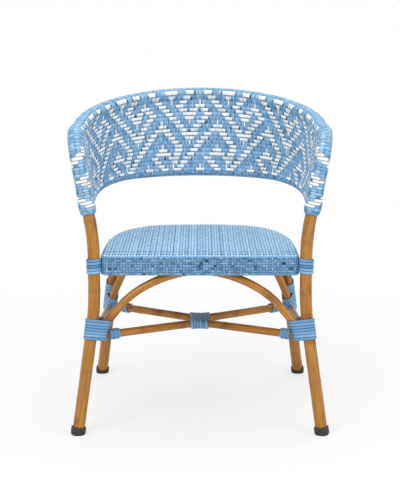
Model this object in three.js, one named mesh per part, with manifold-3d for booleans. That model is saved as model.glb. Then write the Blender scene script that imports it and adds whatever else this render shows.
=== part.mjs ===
import * as THREE from "three";
import { mergeVertices } from "three/addons/utils/BufferGeometryUtils.js";
import Module from "manifold-3d";

// Rattan bistro armchair, in millimetres.
// +Z is up, the front faces -Y, and X = 0 is the plane of symmetry.
// Left-hand pieces, on -X, are modelled and then mirrored.

const wasm = await Module();
wasm.setup();

// Driving dimensions of the chair
const seatHeight = 450;
const seatWidth = 480;
const seatDepth = 444;
const seatFrontY = -12;
const armHeight = 742;
const backHeight = 803;
const bowHalfWidth = 305;
const bowStraightEndY = 180;
const bowBackY = 500;

// Diameters of the poles
const mainPoleDiameter = 30;
const archDiameter = 20;
const stretcherDiameter = 20;
const sideStretcherDiameter = 16;
const backRailDiameter = 20;
const spindleDiameter = 12;
const seatRingDiameter = 28;
const edgePoleDiameter = 12;
const crossRailDiameter = 16;

// Room between pieces that touch
const gap = 0.3;
const strandRoom = 0.55;
const copeRoom = 0.6;

// Facets: sides of a round pole, and the steps of the strand round one pole or two
const poleSides = 12;
const thinPoleSides = 10;
const screwSides = 10;
const windingSteps = 10;
const thinWindingSteps = 8;
const bigArcSteps = 6;
const smallArcSteps = 4;
const evenArcSteps = 5;
const facetTurn = 8 * Math.PI / 180;
const straightTurn = 0.02 * Math.PI / 180;
const fineSteps = 400;

// The flat strand of the bindings: its size and the distance from turn to turn
const strandWidth = 6.6;
const strandThickness = 3;
const strandPitch = 7.4;
const strandTopShare = 0.5;

// Woven skins
const backWeaveThickness = 4.2;
const seatWeaveThickness = 5;
const apronThickness = 4;
const apronHeight = 49.7;

// Room that a bound main pole takes, from its axis to the outside of the strand
const mainPoleRadius = mainPoleDiameter / 2;
const archRadius = archDiameter / 2;
const stretcherRadius = stretcherDiameter / 2;
const sideStretcherRadius = sideStretcherDiameter / 2;
const boundRadius = (mainPoleRadius + strandRoom + strandThickness) / Math.cos(Math.PI / windingSteps);

// Colours of the finishes
const rattanFinish = { color: 0xb07c30, roughness: 0.4, metalness: 0 };
const backFinish = { color: 0x9dbfd8, roughness: 0.55, metalness: 0 };
const seatFinish = { color: 0x8fb6d6, roughness: 0.55, metalness: 0 };
const strandFinish = { color: 0x5f96c3, roughness: 0.45, metalness: 0 };
const rubberFinish = { color: 0x28282a, roughness: 0.6, metalness: 0 };
const steelFinish = { color: 0xb9bcc0, roughness: 0.35, metalness: 1 };

const upward = new THREE.Vector3(0, 0, 1);
const backward = new THREE.Vector3(0, 1, 0);
const rightward = new THREE.Vector3(1, 0, 0);

function point(x, y, z) {
  return new THREE.Vector3(x, y, z);
}

// The point that lies a distance away from another along a unit direction.
function moved(from, direction, distance) {
  return from.clone().addScaledVector(direction, distance);
}

// A direction turned square to a line
function squareTo(direction, line) {
  return direction.clone().addScaledVector(line, -direction.dot(line)).normalize();
}

function mirrored(place) {
  return point(-place.x, place.y, place.z);
}

function mix(from, to, share) {
  return from + (to - from) * share;
}

// A curve whose point is worked out from its share of the way, 0 to 1.
class FormulaCurve extends THREE.Curve {
  constructor(pointAt) {
    super();
    this.pointAt = pointAt;
  }

  getPoint(share, target = new THREE.Vector3()) {
    return target.copy(this.pointAt(share));
  }
}

// Straight runs joined by round bends. A corner holds its place and how far
// before and after it the bend reaches.
function bentPath(start, corners, end) {
  const path = new THREE.CurvePath();
  let reached = start;
  corners.forEach((corner, i) => {
    const next = i + 1 < corners.length ? corners[i + 1].at : end;
    const arriving = corner.at.clone().sub(reached).normalize();
    const leaving = next.clone().sub(corner.at).normalize();
    const bendStart = moved(corner.at, arriving, -corner.before);
    const bendEnd = moved(corner.at, leaving, corner.after);
    path.add(new THREE.LineCurve3(reached, bendStart));
    path.add(new THREE.QuadraticBezierCurve3(bendStart, corner.at, bendEnd));
    reached = bendEnd;
  });
  path.add(new THREE.LineCurve3(reached, end));
  return path;
}

// A symmetric path: its left half up to X = 0, then the mirror image back.
function symmetricPath(leftHalf) {
  return new FormulaCurve((share) =>
    share <= 0.5 ? leftHalf.getPointAt(2 * share) : mirrored(leftHalf.getPointAt(2 - 2 * share)));
}

// The stretch of a path between two shares of its length.
function partOf(path, fromShare, toShare) {
  return new FormulaCurve((share) => path.getPointAt(mix(fromShare, toShare, share)));
}

// The share of a path's length at which a rising measure of its point reaches a value.
function shareWhere(path, measure, value, low = 0, high = 1) {
  let below = low;
  let above = high;
  for (let i = 0; i < 40; i += 1) {
    const middle = (below + above) / 2;
    if (measure(path.getPointAt(middle)) < value) {
      below = middle;
    } else {
      above = middle;
    }
  }
  return (below + above) / 2;
}

// A round pole along a path.
function pole(path, radius, steps, sides = poleSides) {
  const section = new THREE.Shape().absarc(0, 0, radius, 0, 2 * Math.PI);
  return new THREE.ExtrudeGeometry(section, { extrudePath: path, steps, curveSegments: sides / 2 });
}

// A straight round pole from point to point.
function rod(from, to, radius, sides = poleSides) {
  return pole(new THREE.LineCurve3(from, to), radius, 1, sides);
}

// A triangle mesh whose faces point outward.
function closedGeometry(positions, index) {
  const corner = (i) => point(positions[3 * i], positions[3 * i + 1], positions[3 * i + 2]);
  let volume = 0;
  for (let i = 0; i < index.length; i += 3) {
    volume += corner(index[i]).dot(corner(index[i + 1]).cross(corner(index[i + 2])));
  }
  if (volume < 0) {
    for (let i = 0; i < index.length; i += 3) {
      [index[i], index[i + 1]] = [index[i + 1], index[i]];
    }
  }
  const geometry = new THREE.BufferGeometry();
  geometry.setAttribute("position", new THREE.Float32BufferAttribute(positions, 3));
  geometry.setIndex(index);
  return geometry;
}

// A body through rings that have equally many points. A joined loft runs back
// into its first ring, and any other one is capped at both ends.
function loft(rings, joined = false) {
  const count = rings[0].length;
  const places = rings.flat();
  const index = [];
  const bands = joined ? rings.length : rings.length - 1;
  for (let i = 0; i < bands; i += 1) {
    const near = i * count;
    const far = ((i + 1) % rings.length) * count;
    for (let j = 0; j < count; j += 1) {
      const next = (j + 1) % count;
      index.push(near + j, near + next, far + next, near + j, far + next, far + j);
    }
  }
  if (!joined) {
    [0, rings.length - 1].forEach((ring) => {
      const middle = new THREE.Vector3();
      rings[ring].forEach((place) => middle.addScaledVector(place, 1 / count));
      places.push(middle);
      const hub = places.length - 1;
      for (let j = 0; j < count; j += 1) {
        const here = ring * count + j;
        const next = ring * count + ((j + 1) % count);
        index.push(...(ring === 0 ? [hub, next, here] : [hub, here, next]));
      }
    });
  }
  return closedGeometry(places.flatMap((place) => place.toArray()), index);
}

// A geometry's places and corners alone, with equal places made one.
function bareMesh(geometry) {
  const bare = geometry.clone();
  bare.deleteAttribute("normal");
  bare.deleteAttribute("uv");
  const merged = mergeVertices(bare);
  return { positions: Array.from(merged.attributes.position.array), index: Array.from(merged.index.array) };
}

function closed(geometry) {
  const { positions, index } = bareMesh(geometry);
  return closedGeometry(positions, index);
}

function mirroredGeometry(geometry) {
  const { positions, index } = bareMesh(geometry);
  return closedGeometry(positions.map((value, i) => (i % 3 === 0 ? -value : value)), index);
}

// Shares of a path's length: both ends, the ends of each bend, and between them
// a place each time the path has turned by the facet angle.
function turnShares(path) {
  const shares = [0];
  const tangents = Array.from({ length: fineSteps + 1 }, (_, i) => path.getTangentAt(i / fineSteps));
  const bends = tangents.map((tangent, i) => i > 0 && tangent.angleTo(tangents[i - 1]) > straightTurn);
  let last = tangents[0];
  for (let i = 1; i < fineSteps; i += 1) {
    if (bends[i] !== bends[i + 1] || last.angleTo(tangents[i]) >= facetTurn) {
      shares.push(i / fineSteps);
      last = tangents[i];
    }
  }
  return [...shares, 1];
}

// The shares of a symmetric path, from those of its left half
function bothWays(shares) {
  const left = shares.map((share) => share / 2);
  return [...left, ...left.slice(0, -1).reverse().map((share) => 1 - share)];
}

// A round pole along a path, with a ring at each of some shares of its length.
function bentPole(path, radius, shares, sides) {
  let side = upward;
  return loft(shares.map((share) => {
    const centre = path.getPointAt(share);
    const tangent = path.getTangentAt(share);
    side = squareTo(side, tangent);
    const up = tangent.clone().cross(side);
    return Array.from({ length: sides }, (_, i) => {
      const turn = 2 * Math.PI * i / sides;
      return moved(moved(centre, side, radius * Math.cos(turn)), up, radius * Math.sin(turn));
    });
  }));
}

// Cutting: a geometry as a solid, and a solid as a geometry.
function solid(geometry) {
  const { positions, index } = bareMesh(geometry);
  return new wasm.Manifold(new wasm.Mesh({
    numProp: 3,
    vertProperties: new Float32Array(positions),
    triVerts: new Uint32Array(index),
  }));
}

function geometryOf(body) {
  const mesh = body.getMesh();
  return closedGeometry(Array.from(mesh.vertProperties), Array.from(mesh.triVerts));
}

function cut(geometry, tools) {
  return geometryOf(tools.reduce((left, tool) => left.subtract(solid(tool)), solid(geometry)));
}

function common(geometry, other) {
  return geometryOf(solid(geometry).intersect(solid(other)));
}

// A shape turned about a line, from distances across and along it. It starts at
// a place and runs in a direction.
function turned(profile, from, direction, sides) {
  const points = profile.map(([across, along]) => new THREE.Vector2(across, along));
  const turn = new THREE.Quaternion().setFromUnitVectors(backward, direction);
  const shape = new THREE.LatheGeometry(points, sides).applyQuaternion(turn);
  return closed(shape.translate(from.x, from.y, from.z));
}

// The chair, and how a piece and a left and right pair are put on it
const chair = new THREE.Group();

function addPiece(name, geometry, finish) {
  const piece = new THREE.Mesh(geometry, new THREE.MeshStandardMaterial(finish));
  piece.name = name;
  chair.add(piece);
}

function addPair(name, geometry, finish) {
  addPiece(`${name}_left`, geometry, finish);
  addPiece(`${name}_right`, mirroredGeometry(geometry), finish);
}

// Woven seat: a D, straight in front with small round corners, whose sides and
// back are one rounded curve
const seatCornerRadius = 20;
const seatRoundness = 3.2;
const seatCurveSteps = 40;
const seatCornerSteps = 4;
const seatHalfWidth = seatWidth / 2;
const seatCurveStartY = seatFrontY + seatCornerRadius;
const seatCurveDepth = seatDepth - seatCornerRadius;

// A place on the seat's side and back, by the angle that runs from 0 at the left
// front to pi at the right front, and its outward direction.
function seatEdge(angle) {
  const across = -Math.sign(Math.cos(angle)) * Math.abs(Math.cos(angle)) ** (2 / seatRoundness);
  const along = Math.abs(Math.sin(angle)) ** (2 / seatRoundness);
  const lean = Math.sign(across) * Math.abs(across) ** (seatRoundness - 1) / seatHalfWidth;
  const outward = point(lean, along ** (seatRoundness - 1) / seatCurveDepth, 0).normalize();
  return { at: point(seatHalfWidth * across, seatCurveStartY + seatCurveDepth * along, 0), outward };
}

// The seat's outline, drawn in from its edge by an inset, at a height.
function seatOutline(inset, height) {
  const outline = [];
  for (let i = 0; i <= seatCurveSteps; i += 1) {
    const edge = seatEdge(Math.PI * i / seatCurveSteps);
    outline.push(moved(edge.at, edge.outward, -inset).setZ(height));
  }
  const radius = seatCornerRadius - inset;
  const turns = Array.from({ length: seatCornerSteps }, (_, i) => Math.PI / 2 * (i + 1) / seatCornerSteps);
  const cornerPlace = (turn) => point(
    seatHalfWidth - seatCornerRadius + radius * Math.cos(turn),
    seatCurveStartY - radius * Math.sin(turn),
    height,
  );
  outline.push(...turns.map(cornerPlace), ...turns.reverse().map(cornerPlace).map(mirrored));
  return outline;
}

const seatEdgeRoll = 4;
const seatWeaveBottom = seatHeight - seatWeaveThickness;

function seatWeave() {
  const rollShares = [[0, 1], [0.15, 0.45], [0.5, 0.13], [1, 0]];
  const top = rollShares.map(([inset, drop]) =>
    seatOutline(seatEdgeRoll * inset, seatHeight - seatEdgeRoll * drop));
  return loft([seatOutline(0, seatWeaveBottom), ...top]);
}

// Woven apron: a band that hangs below the edge of the seat
const apronTop = seatWeaveBottom - gap;
const apronBottom = seatHeight - apronHeight;
const apronRoll = 1.5;

function apronBand() {
  return loft([
    seatOutline(apronRoll, apronBottom),
    seatOutline(0, apronBottom + apronRoll),
    seatOutline(0, apronTop),
    seatOutline(apronThickness, apronTop),
    seatOutline(apronThickness, apronBottom),
  ], true);
}

// Seat frame inside the weave: a thick ring under the seat and a thin pole in
// the bottom edge of the apron, each a front piece and a hoop, and cross rails
const seatRingRadius = seatRingDiameter / 2;
const hoopRoom = 0.7;
const seatRingInset = apronThickness + hoopRoom + seatRingRadius;
const seatRingHeight = apronTop - gap - seatRingRadius;
const edgePoleRadius = edgePoleDiameter / 2;
const edgePoleInset = apronThickness + hoopRoom + edgePoleRadius;
const edgePoleHeight = apronBottom + apronRoll + edgePoleRadius;
const hoopSteps = 32;
const crossRailPlaceShares = [0.3, 0.58];

// The line along the side and back of the seat, drawn in by an inset, from a
// place in front on either side.
function seatHoopPath(inset, height, startY) {
  const startShare = Math.max(0, (startY - seatCurveStartY) / seatCurveDepth);
  const startAngle = Math.asin(startShare ** (seatRoundness / 2));
  return new FormulaCurve((share) => {
    const edge = seatEdge(mix(startAngle, Math.PI - startAngle, share));
    return moved(edge.at, edge.outward, -inset).setZ(height);
  });
}

const ringHoopStartY = seatFrontY + seatRingInset + seatRingRadius + gap;
const ringHoopPath = seatHoopPath(seatRingInset, seatRingHeight, ringHoopStartY);
const edgeHoopPath = seatHoopPath(edgePoleInset, edgePoleHeight, seatCurveStartY);

function frontRail(inset, height, radius, sides) {
  const reach = seatHalfWidth - seatCornerRadius;
  const y = seatFrontY + inset;
  return rod(point(-reach, y, height), point(reach, y, height), radius, sides);
}

const crossRailRadius = crossRailDiameter / 2;
const crossRailHeight = apronTop - gap - crossRailRadius;

function crossRailY(placeShare) {
  return seatCurveStartY + seatCurveDepth * placeShare;
}

// A cross rail is shaped at its ends to the ring that it meets.
function crossRail(placeShare, ring) {
  const y = crossRailY(placeShare);
  const end = ringHoopPath.getPointAt(shareWhere(ringHoopPath, (place) => place.y, y, 0, 0.5));
  end.z = crossRailHeight;
  return cut(rod(end, mirrored(end), crossRailRadius, thinPoleSides), [ring]);
}

// Main bow: the front legs, the arms and the top rail are one bent pole
const frontFootX = 304;
const frontFootY = -30;
const legStart = 12;
const legBendHeight = 312;
const legBendReach = 60;
const flareHeight = 490;
const flareReach = 45;
const armBendBelow = 90;
const armBendBehind = 75;
const bowSteps = 80;
const bowRiseShape = 1.05;
const postX = -(seatHalfWidth + gap + boundRadius);

const frontFoot = point(-frontFootX, frontFootY, 0);
const legBend = point(postX, 0, legBendHeight);
const flareBend = point(postX, 0, flareHeight);
const armBend = point(-bowHalfWidth, 0, armHeight);
const frontLegDirection = legBend.clone().sub(frontFoot).normalize();

// The top rail by its angle, 0 at the left arm and half a right turn later at the middle of the back.
function topRailPoint(angle) {
  const back = Math.sin(angle);
  return point(
    -bowHalfWidth * Math.cos(angle),
    mix(bowStraightEndY, bowBackY, back),
    mix(armHeight, backHeight, back ** bowRiseShape),
  );
}

const bowHalf = bentPath(moved(frontFoot, frontLegDirection, legStart), [
  { at: legBend, before: legBendReach, after: legBendReach },
  { at: flareBend, before: flareReach, after: flareReach },
  { at: armBend, before: armBendBelow, after: armBendBehind },
], topRailPoint(0));
bowHalf.add(new FormulaCurve((share) => topRailPoint(Math.PI / 2 * share)));
const bowPath = symmetricPath(bowHalf);
const postPath = partOf(bowPath, 0, 0.5);

// Bottom rail of the back: from one post round to the other
const backRailRadius = backRailDiameter / 2;
const backRailPostHeight = 568;
const backRailBackHeight = 595;
const backRailRiseStartY = 115;
const backRailRiseEndY = 390;
const backRailHalfWidth = 278;
const backRailStraightEndY = 170;
const backRailBackY = 460;
const backRailSteps = 36;

const railPostShare = shareWhere(postPath, (place) => place.z, backRailPostHeight, 0, 0.5);
const railPost = postPath.getPointAt(railPostShare);

function atRailHeight(x, y) {
  const rise = THREE.MathUtils.smoothstep(y, backRailRiseStartY, backRailRiseEndY);
  return point(x, y, mix(backRailPostHeight, backRailBackHeight, rise));
}

function backRailSidePoint(y) {
  return atRailHeight(mix(railPost.x, -backRailHalfWidth, y / backRailStraightEndY), y);
}

function backRailPoint(angle) {
  const y = mix(backRailStraightEndY, backRailBackY, Math.sin(angle));
  return atRailHeight(-backRailHalfWidth * Math.cos(angle), y);
}

const backRailHalf = new THREE.CurvePath();
backRailHalf.add(new FormulaCurve((share) => backRailSidePoint(backRailStraightEndY * share)));
backRailHalf.add(new FormulaCurve((share) => backRailPoint(Math.PI / 2 * share)));
const backRailPath = symmetricPath(backRailHalf);

// Woven back: a hollow sleeve over the posts' upper ends, the top rail, the
// bottom rail and the spindles between them. It is open round either post.
// Its section is a large round and a small round with a flat between them.
const weaveEndHeight = 553;
const weaveRailStartY = 23;
const weavePostStartHeight = 577;
const weaveHeel = 7;
const weaveFacetRoom = 0.5;
const heelFlatShare = 0.9;
const topRoundPoints = 9;
const bottomRoundPoints = 7;

// The place on the bottom rail below a place on the bow: level with the same
// share of the side, or at the same angle round the back.
function railBelow(bowShare, sideStartShare, sideEndShare) {
  if (bowShare < sideEndShare) {
    const sideShare = (bowShare - sideStartShare) / (sideEndShare - sideStartShare);
    return backRailSidePoint(mix(weaveRailStartY, backRailStraightEndY, sideShare));
  }
  return backRailPoint(Math.acos(-bowPath.getPointAt(bowShare).x / bowHalfWidth));
}

// The places on the bow and on the bottom rail that each section of the left
// half spans, with the directions that both poles run in there. Past the first
// section these are the bow's own steps.
function weaveStations() {
  const startShare = shareWhere(bowPath, (place) => place.z, weavePostStartHeight, 0, 0.25);
  const sideEndShare = shareWhere(bowPath, (place) => place.y, bowStraightEndY, 0, 0.5);
  const shares = [startShare];
  for (let step = Math.ceil(startShare * bowSteps + 0.5); step <= bowSteps / 2; step += 1) {
    shares.push(step / bowSteps);
  }
  return shares.map((share) => {
    const bottom = railBelow(share, startShare, sideEndShare);
    const ahead = railBelow(share + 0.5 / bowSteps, startShare, sideEndShare);
    return {
      top: bowPath.getPointAt(share),
      topRun: bowPath.getTangentAt(share),
      bottom,
      bottomRun: ahead.sub(bottom).normalize(),
    };
  });
}

// Points of a round from one side to the other, past its far end: the angles
// run from minus to plus the reach, and 0 points away from the flat.
function roundPoints(centre, away, outward, radius, reach, count) {
  const grow = 1 / Math.cos(reach / (count - 1));
  return Array.from({ length: count }, (_, i) => {
    const turn = mix(-reach, reach, i / (count - 1));
    const place = moved(centre, away, radius * grow * Math.cos(turn));
    return moved(place, outward, radius * grow * Math.sin(turn));
  });
}

// The weave's sections on the left half, as far out as the room asked for.
function weaveSections(room) {
  const topRadius = mainPoleRadius + room;
  const bottomRadius = backRailRadius + room;
  const sections = weaveStations().map(({ top, topRun, bottom, bottomRun }, i) => {
    const flat = i === 0 ? heelFlatShare * bottomRadius : spindleDiameter / 2 + room;
    const topReach = Math.PI - Math.asin(flat / topRadius);
    const bottomReach = Math.PI - Math.asin(flat / bottomRadius);
    const outward = top.clone().sub(bottom).cross(topRun.clone().add(bottomRun)).normalize();
    const topOut = outward.clone().addScaledVector(topRun, -outward.dot(topRun)).normalize();
    const bottomOut = outward.clone().addScaledVector(bottomRun, -outward.dot(bottomRun)).normalize();
    const above = topRun.clone().cross(topOut);
    const below = bottomOut.clone().cross(bottomRun);
    return [
      ...roundPoints(top, above, topOut, topRadius, topReach, topRoundPoints),
      ...roundPoints(bottom, below, bottomOut, bottomRadius, bottomReach, bottomRoundPoints).reverse(),
    ];
  });
  const end = bowPath.getPointAt(shareWhere(bowPath, (place) => place.z, weaveEndHeight, 0, 0.25));
  const heel = moved(end, backward, weaveHeel);
  const leftward = rightward.clone().negate();
  const endReach = Math.PI - Math.asin(heelFlatShare * bottomRadius / topRadius);
  const heelReach = Math.asin(heelFlatShare);
  const endRing = [
    ...roundPoints(end, backward.clone().negate(), leftward, topRadius, endReach, topRoundPoints),
    ...roundPoints(heel, backward, leftward, bottomRadius, heelReach, bottomRoundPoints).reverse(),
  ];
  return [endRing, ...sections];
}

function weaveSkin(room) {
  const left = weaveSections(room);
  return [...left, ...left.slice(0, -1).reverse().map((ring) => ring.map(mirrored))];
}

function wovenBack() {
  const innerRoom = gap + weaveFacetRoom;
  return loft([...weaveSkin(innerRoom + backWeaveThickness), ...weaveSkin(innerRoom).reverse()], true);
}

// The bottom rail is shaped to the posts and kept inside the weave.
function backRail(posts) {
  const rail = cut(pole(backRailPath, backRailRadius, backRailSteps, thinPoleSides), [posts]);
  return common(rail, loft(weaveSkin(weaveFacetRoom).reverse()));
}

// Spindles of the back, from the bottom rail up to the top rail
const spindleAngles = [30, 50, 70, 90].map((degrees) => degrees * Math.PI / 180);

function spindle(angle, poles) {
  return cut(rod(backRailPoint(angle), topRailPoint(angle), spindleDiameter / 2, thinPoleSides), poles);
}

// Rear legs: raked, then upright beside the apron
const rearFootX = 284;
const rearFootY = 501;
const rearBendHeight = 372;
const rearBendReach = 27;
const rearLegTop = 430;
const rearLegSeatAngle = 36 * Math.PI / 180;
const rearFoot = point(-rearFootX, rearFootY, 0);
const rearSeatEdge = seatEdge(rearLegSeatAngle);
const rearLegBend = moved(rearSeatEdge.at, rearSeatEdge.outward, gap + boundRadius).setZ(rearBendHeight);
const rearLegDirection = rearLegBend.clone().sub(rearFoot).normalize();
const rearLegPath = bentPath(moved(rearFoot, rearLegDirection, legStart), [
  { at: rearLegBend, before: rearBendReach, after: rearBendReach },
], rearLegBend.clone().setZ(rearLegTop));
const postEndShare = shareWhere(bowPath, (place) => place.z, flareHeight - flareReach, 0, 0.25);
const frontLegPath = partOf(bowPath, 0, postEndShare);

// The place on a straight leg at a height
function onLeg(foot, direction, height) {
  return moved(foot, direction, height / direction.z);
}

// Arches: each end runs beside its leg, and the middle lies under the seat
// frame. The front arch stands between the front legs, behind the apron, and
// the rear one in front of the rear legs.
const archBendReach = 20;
const archShoulderReach = 50;
const frontArchEndLow = 241;
const frontArchEndHigh = 274;
const frontArchShoulderX = 190;
const frontArchShoulderY = 3.8;
const frontArchShoulderHeight = 327;
const frontArchLevelReach = 75;
const rearArchEndLow = 217;
const rearArchEndHigh = 285;
const rearArchShoulderX = 212.4;
const rearArchShoulderY = 299;
const rearArchShoulderHeight = 328.8;
const rearArchLevelReach = 100;
const rearArchTurn = 12 * Math.PI / 180;

// The left half of an arch, from the low end beside the leg over the shoulder
// to the level middle.
function archHalf(endLow, endHigh, shoulder, levelReach, middle) {
  const half = bentPath(endLow, [{ at: endHigh, before: archBendReach, after: archBendReach }], shoulder);
  const rising = shoulder.clone().sub(endHigh).normalize();
  const risen = moved(shoulder, rising, archShoulderReach);
  const level = point(-levelReach, middle.y, middle.z);
  half.add(new THREE.CubicBezierCurve3(shoulder, risen, level, middle));
  return half;
}

function arch(half) {
  return bentPole(symmetricPath(half), archRadius, bothWays(turnShares(half)), thinPoleSides);
}

const frontArchSide = squareTo(rightward, frontLegDirection);
const frontArchOffset = mainPoleRadius + gap + gap + archRadius;
const rearArchSide = squareTo(point(Math.sin(rearArchTurn), -Math.cos(rearArchTurn), 0), rearLegDirection);
const rearArchOffset = boundRadius + gap + archRadius;

function besideFrontLeg(height) {
  return moved(onLeg(frontFoot, frontLegDirection, height), frontArchSide, frontArchOffset);
}

function besideRearLeg(height) {
  return moved(onLeg(rearFoot, rearLegDirection, height), rearArchSide, rearArchOffset);
}

const frontArchMiddle = point(
  0,
  seatFrontY + edgePoleInset + edgePoleRadius + gap + archRadius,
  seatRingHeight - seatRingRadius - gap - archRadius,
);
const frontArchHalf = archHalf(
  besideFrontLeg(frontArchEndLow),
  besideFrontLeg(frontArchEndHigh),
  point(-frontArchShoulderX, frontArchShoulderY, frontArchShoulderHeight),
  frontArchLevelReach,
  frontArchMiddle,
);
const rearArchMiddle = point(
  0,
  crossRailY(crossRailPlaceShares[1]),
  crossRailHeight - crossRailRadius - gap - archRadius,
);
const rearArchHalf = archHalf(
  besideRearLeg(rearArchEndLow),
  besideRearLeg(rearArchEndHigh),
  point(-rearArchShoulderX, rearArchShoulderY, rearArchShoulderHeight),
  rearArchLevelReach,
  rearArchMiddle,
);

// Stretchers: a V between the front legs and one between the rear legs, whose
// middles lie against each other, and a straight one on either side
const veeBendReach = 52;
const frontVeeEndHeight = 251.5;
const frontVeeApexY = 190;
const frontVeeHeight = 229.4;
const rearVeeEndHeight = 227;
const rearVeeApexY = 210;
const rearVeeHeight = 233.7;
const sideStretcherFrontHeight = 283;
const sideStretcherRearHeight = 224;
const sideStretcherPlaceShare = 0.7;

// A V whose legs run from a place on the left to the apex and on to its mirror image
function veePath(start, apexY, height) {
  const apex = point(0, apexY, height);
  return bentPath(start, [{ at: apex, before: veeBendReach, after: veeBendReach }], mirrored(start));
}

function veeStretcher(path) {
  return bentPole(path, stretcherRadius, turnShares(path), poleSides);
}

const frontVeeStart = besideFrontLeg(frontVeeEndHeight);
const frontVeePath = veePath(frontVeeStart, frontVeeApexY, frontVeeHeight);
const rearVeeStart = onLeg(rearFoot, rearLegDirection, rearVeeEndHeight);
const rearVeePath = veePath(rearVeeStart, rearVeeApexY, rearVeeHeight);
const sideStretcherStart = moved(
  onLeg(frontFoot, frontLegDirection, sideStretcherFrontHeight),
  frontArchSide,
  frontArchOffset * sideStretcherPlaceShare,
);
const sideStretcherEnd = onLeg(rearFoot, rearLegDirection, sideStretcherRearHeight);
const sideStretcherPath = new THREE.LineCurve3(sideStretcherStart, sideStretcherEnd);

// Screws: the head is countersunk in one pole and the tip stands on the axis of
// the next. A hole is the screw's own shape with room round it.
const screwHeadRadius = 4;
const screwShankRadius = 2;
const screwHeadSink = 1;

function screwShape(from, fromRadius, to, room = 0) {
  const direction = to.clone().sub(from).normalize();
  const head = moved(from, direction, screwHeadSink - fromRadius);
  const length = head.distanceTo(to);
  const mouth = room > 0 ? -screwHeadSink - room : 0;
  return turned([
    [0, mouth],
    [screwHeadRadius + room, mouth],
    [screwHeadRadius + room, 0],
    [screwShankRadius + room, screwHeadRadius - screwShankRadius],
    [screwShankRadius + room, length - screwShankRadius],
    [0, length + room],
  ].filter((pair, i) => i !== 1 || room > 0), head, direction, screwSides);
}

// Bindings: strands wound round a bundle, which is one pole or two that are
// followed along a straight line. The facing says where the strand starts.
function bundle(start, along, poles, steps, facing = backward) {
  return { start, along, poles, steps, facing };
}

// The circles that a bundle's poles fill at a distance along its line, each as
// wide as a slanted pole needs. A pole that ends short is taken to run on.
function circlesAt({ start, along, poles }, distance) {
  return poles.map(([path, radius]) => {
    const reached = (place) => place.clone().sub(start).dot(along);
    const share = shareWhere(path, reached, distance);
    const place = path.getPointAt(share);
    const slant = Math.abs(path.getTangentAt(share).dot(along));
    const centre = moved(place, along, distance - reached(place));
    return { centre, radius: (radius + strandRoom) / slant };
  });
}

// Corners placed so that the sides between them touch a round's arc.
function arcCorners({ centre, radius }, outset, [side, up], from, to, count) {
  const reach = (radius + outset) / Math.cos((to - from) / (2 * count));
  return Array.from({ length: count }, (_, i) => {
    const turn = mix(from, to, (i + 0.5) / count);
    return moved(moved(centre, side, reach * Math.cos(turn)), up, reach * Math.sin(turn));
  });
}

// The outline round the poles of a bundle, set out from them: a round for one
// pole, and two arcs with straight sides between them for two.
function outlineRound(bound, distance, outset) {
  const [first, second] = circlesAt(bound, distance);
  const [firstSteps, secondSteps] = bound.steps;
  if (!second) {
    const side = squareTo(bound.facing, bound.along);
    return arcCorners(first, outset, [side, bound.along.clone().cross(side)], 0, 2 * Math.PI, firstSteps);
  }
  const apart = second.centre.clone().sub(first.centre);
  const side = apart.clone().normalize();
  const sides = [side, bound.along.clone().cross(side)];
  const lean = Math.acos((first.radius - second.radius) / apart.length());
  return [
    ...arcCorners(first, outset, sides, lean, 2 * Math.PI - lean, firstSteps),
    ...arcCorners(second, outset, sides, -lean, lean, secondSteps),
  ];
}

// One strand wound round a bundle. Its middle line runs through the corners of
// the outline, one pitch further along with each turn, and both of its ends run
// straight on.
function winding(bound, from, turns) {
  const perTurn = bound.steps.reduce((sum, steps) => sum + steps, 0);
  const ringAt = (i) => {
    const distance = from + strandPitch * i / perTurn;
    const corner = ((i % perTurn) + perTurn) % perTurn;
    const half = strandWidth / 2;
    const topHalf = half * strandTopShare;
    return [[0, -half], [0, half], [strandThickness, topHalf], [strandThickness, -topHalf]]
      .map(([outset, across]) => outlineRound(bound, distance + across, outset)[corner]);
  };
  const last = perTurn * turns;
  const rings = Array.from({ length: last + 1 }, (_, i) => ringAt(i));
  const runOn = (end, beyond, before) => {
    const away = beyond[0].clone().sub(before[0]).normalize();
    return end.map((place) => moved(place, away, strandWidth));
  };
  const first = runOn(rings[0], ringAt(-1), rings[1]);
  const final = runOn(rings[last], ringAt(last + 1), rings[last - 1]);
  const whole = [first, ...rings, final];
  noteLeastGap(whole, perTurn);
  return loft(whole);
}

// The least distance between places on a strand that are about a turn apart.
let leastTurnGap = Infinity;

function noteLeastGap(rings, perTurn) {
  rings.forEach((ring, i) => {
    rings.slice(i + perTurn - 1).forEach((other) => {
      ring.forEach((place) => other.forEach((next) => {
        leastTurnGap = Math.min(leastTurnGap, place.distanceTo(next));
      }));
    });
  });
}

// The room that a bound bundle takes, a little past both ends of its binding.
const bindingRoomSteps = 14;

function bindingRoom(bound, from, turns) {
  const low = from - mainPoleRadius;
  const high = from + strandPitch * turns + mainPoleRadius;
  const shares = Array.from({ length: bindingRoomSteps + 1 }, (_, i) => i / bindingRoomSteps);
  const outset = strandThickness + copeRoom;
  return loft(shares.map((share) => outlineRound(bound, mix(low, high, share), outset)));
}

// The distance along a pole's line from which a sleeve round it clears a bundle.
function clearOf(bound, line, sleeveRadius) {
  const station = line.start.clone().sub(bound.start).dot(bound.along);
  const away = squareTo(line.along, bound.along);
  const reach = Math.max(...outlineRound(bound, station, strandThickness)
    .map((place) => place.sub(line.start).dot(away)));
  return (reach + sleeveRadius * Math.abs(line.along.dot(bound.along))) / line.along.dot(away);
}

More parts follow.
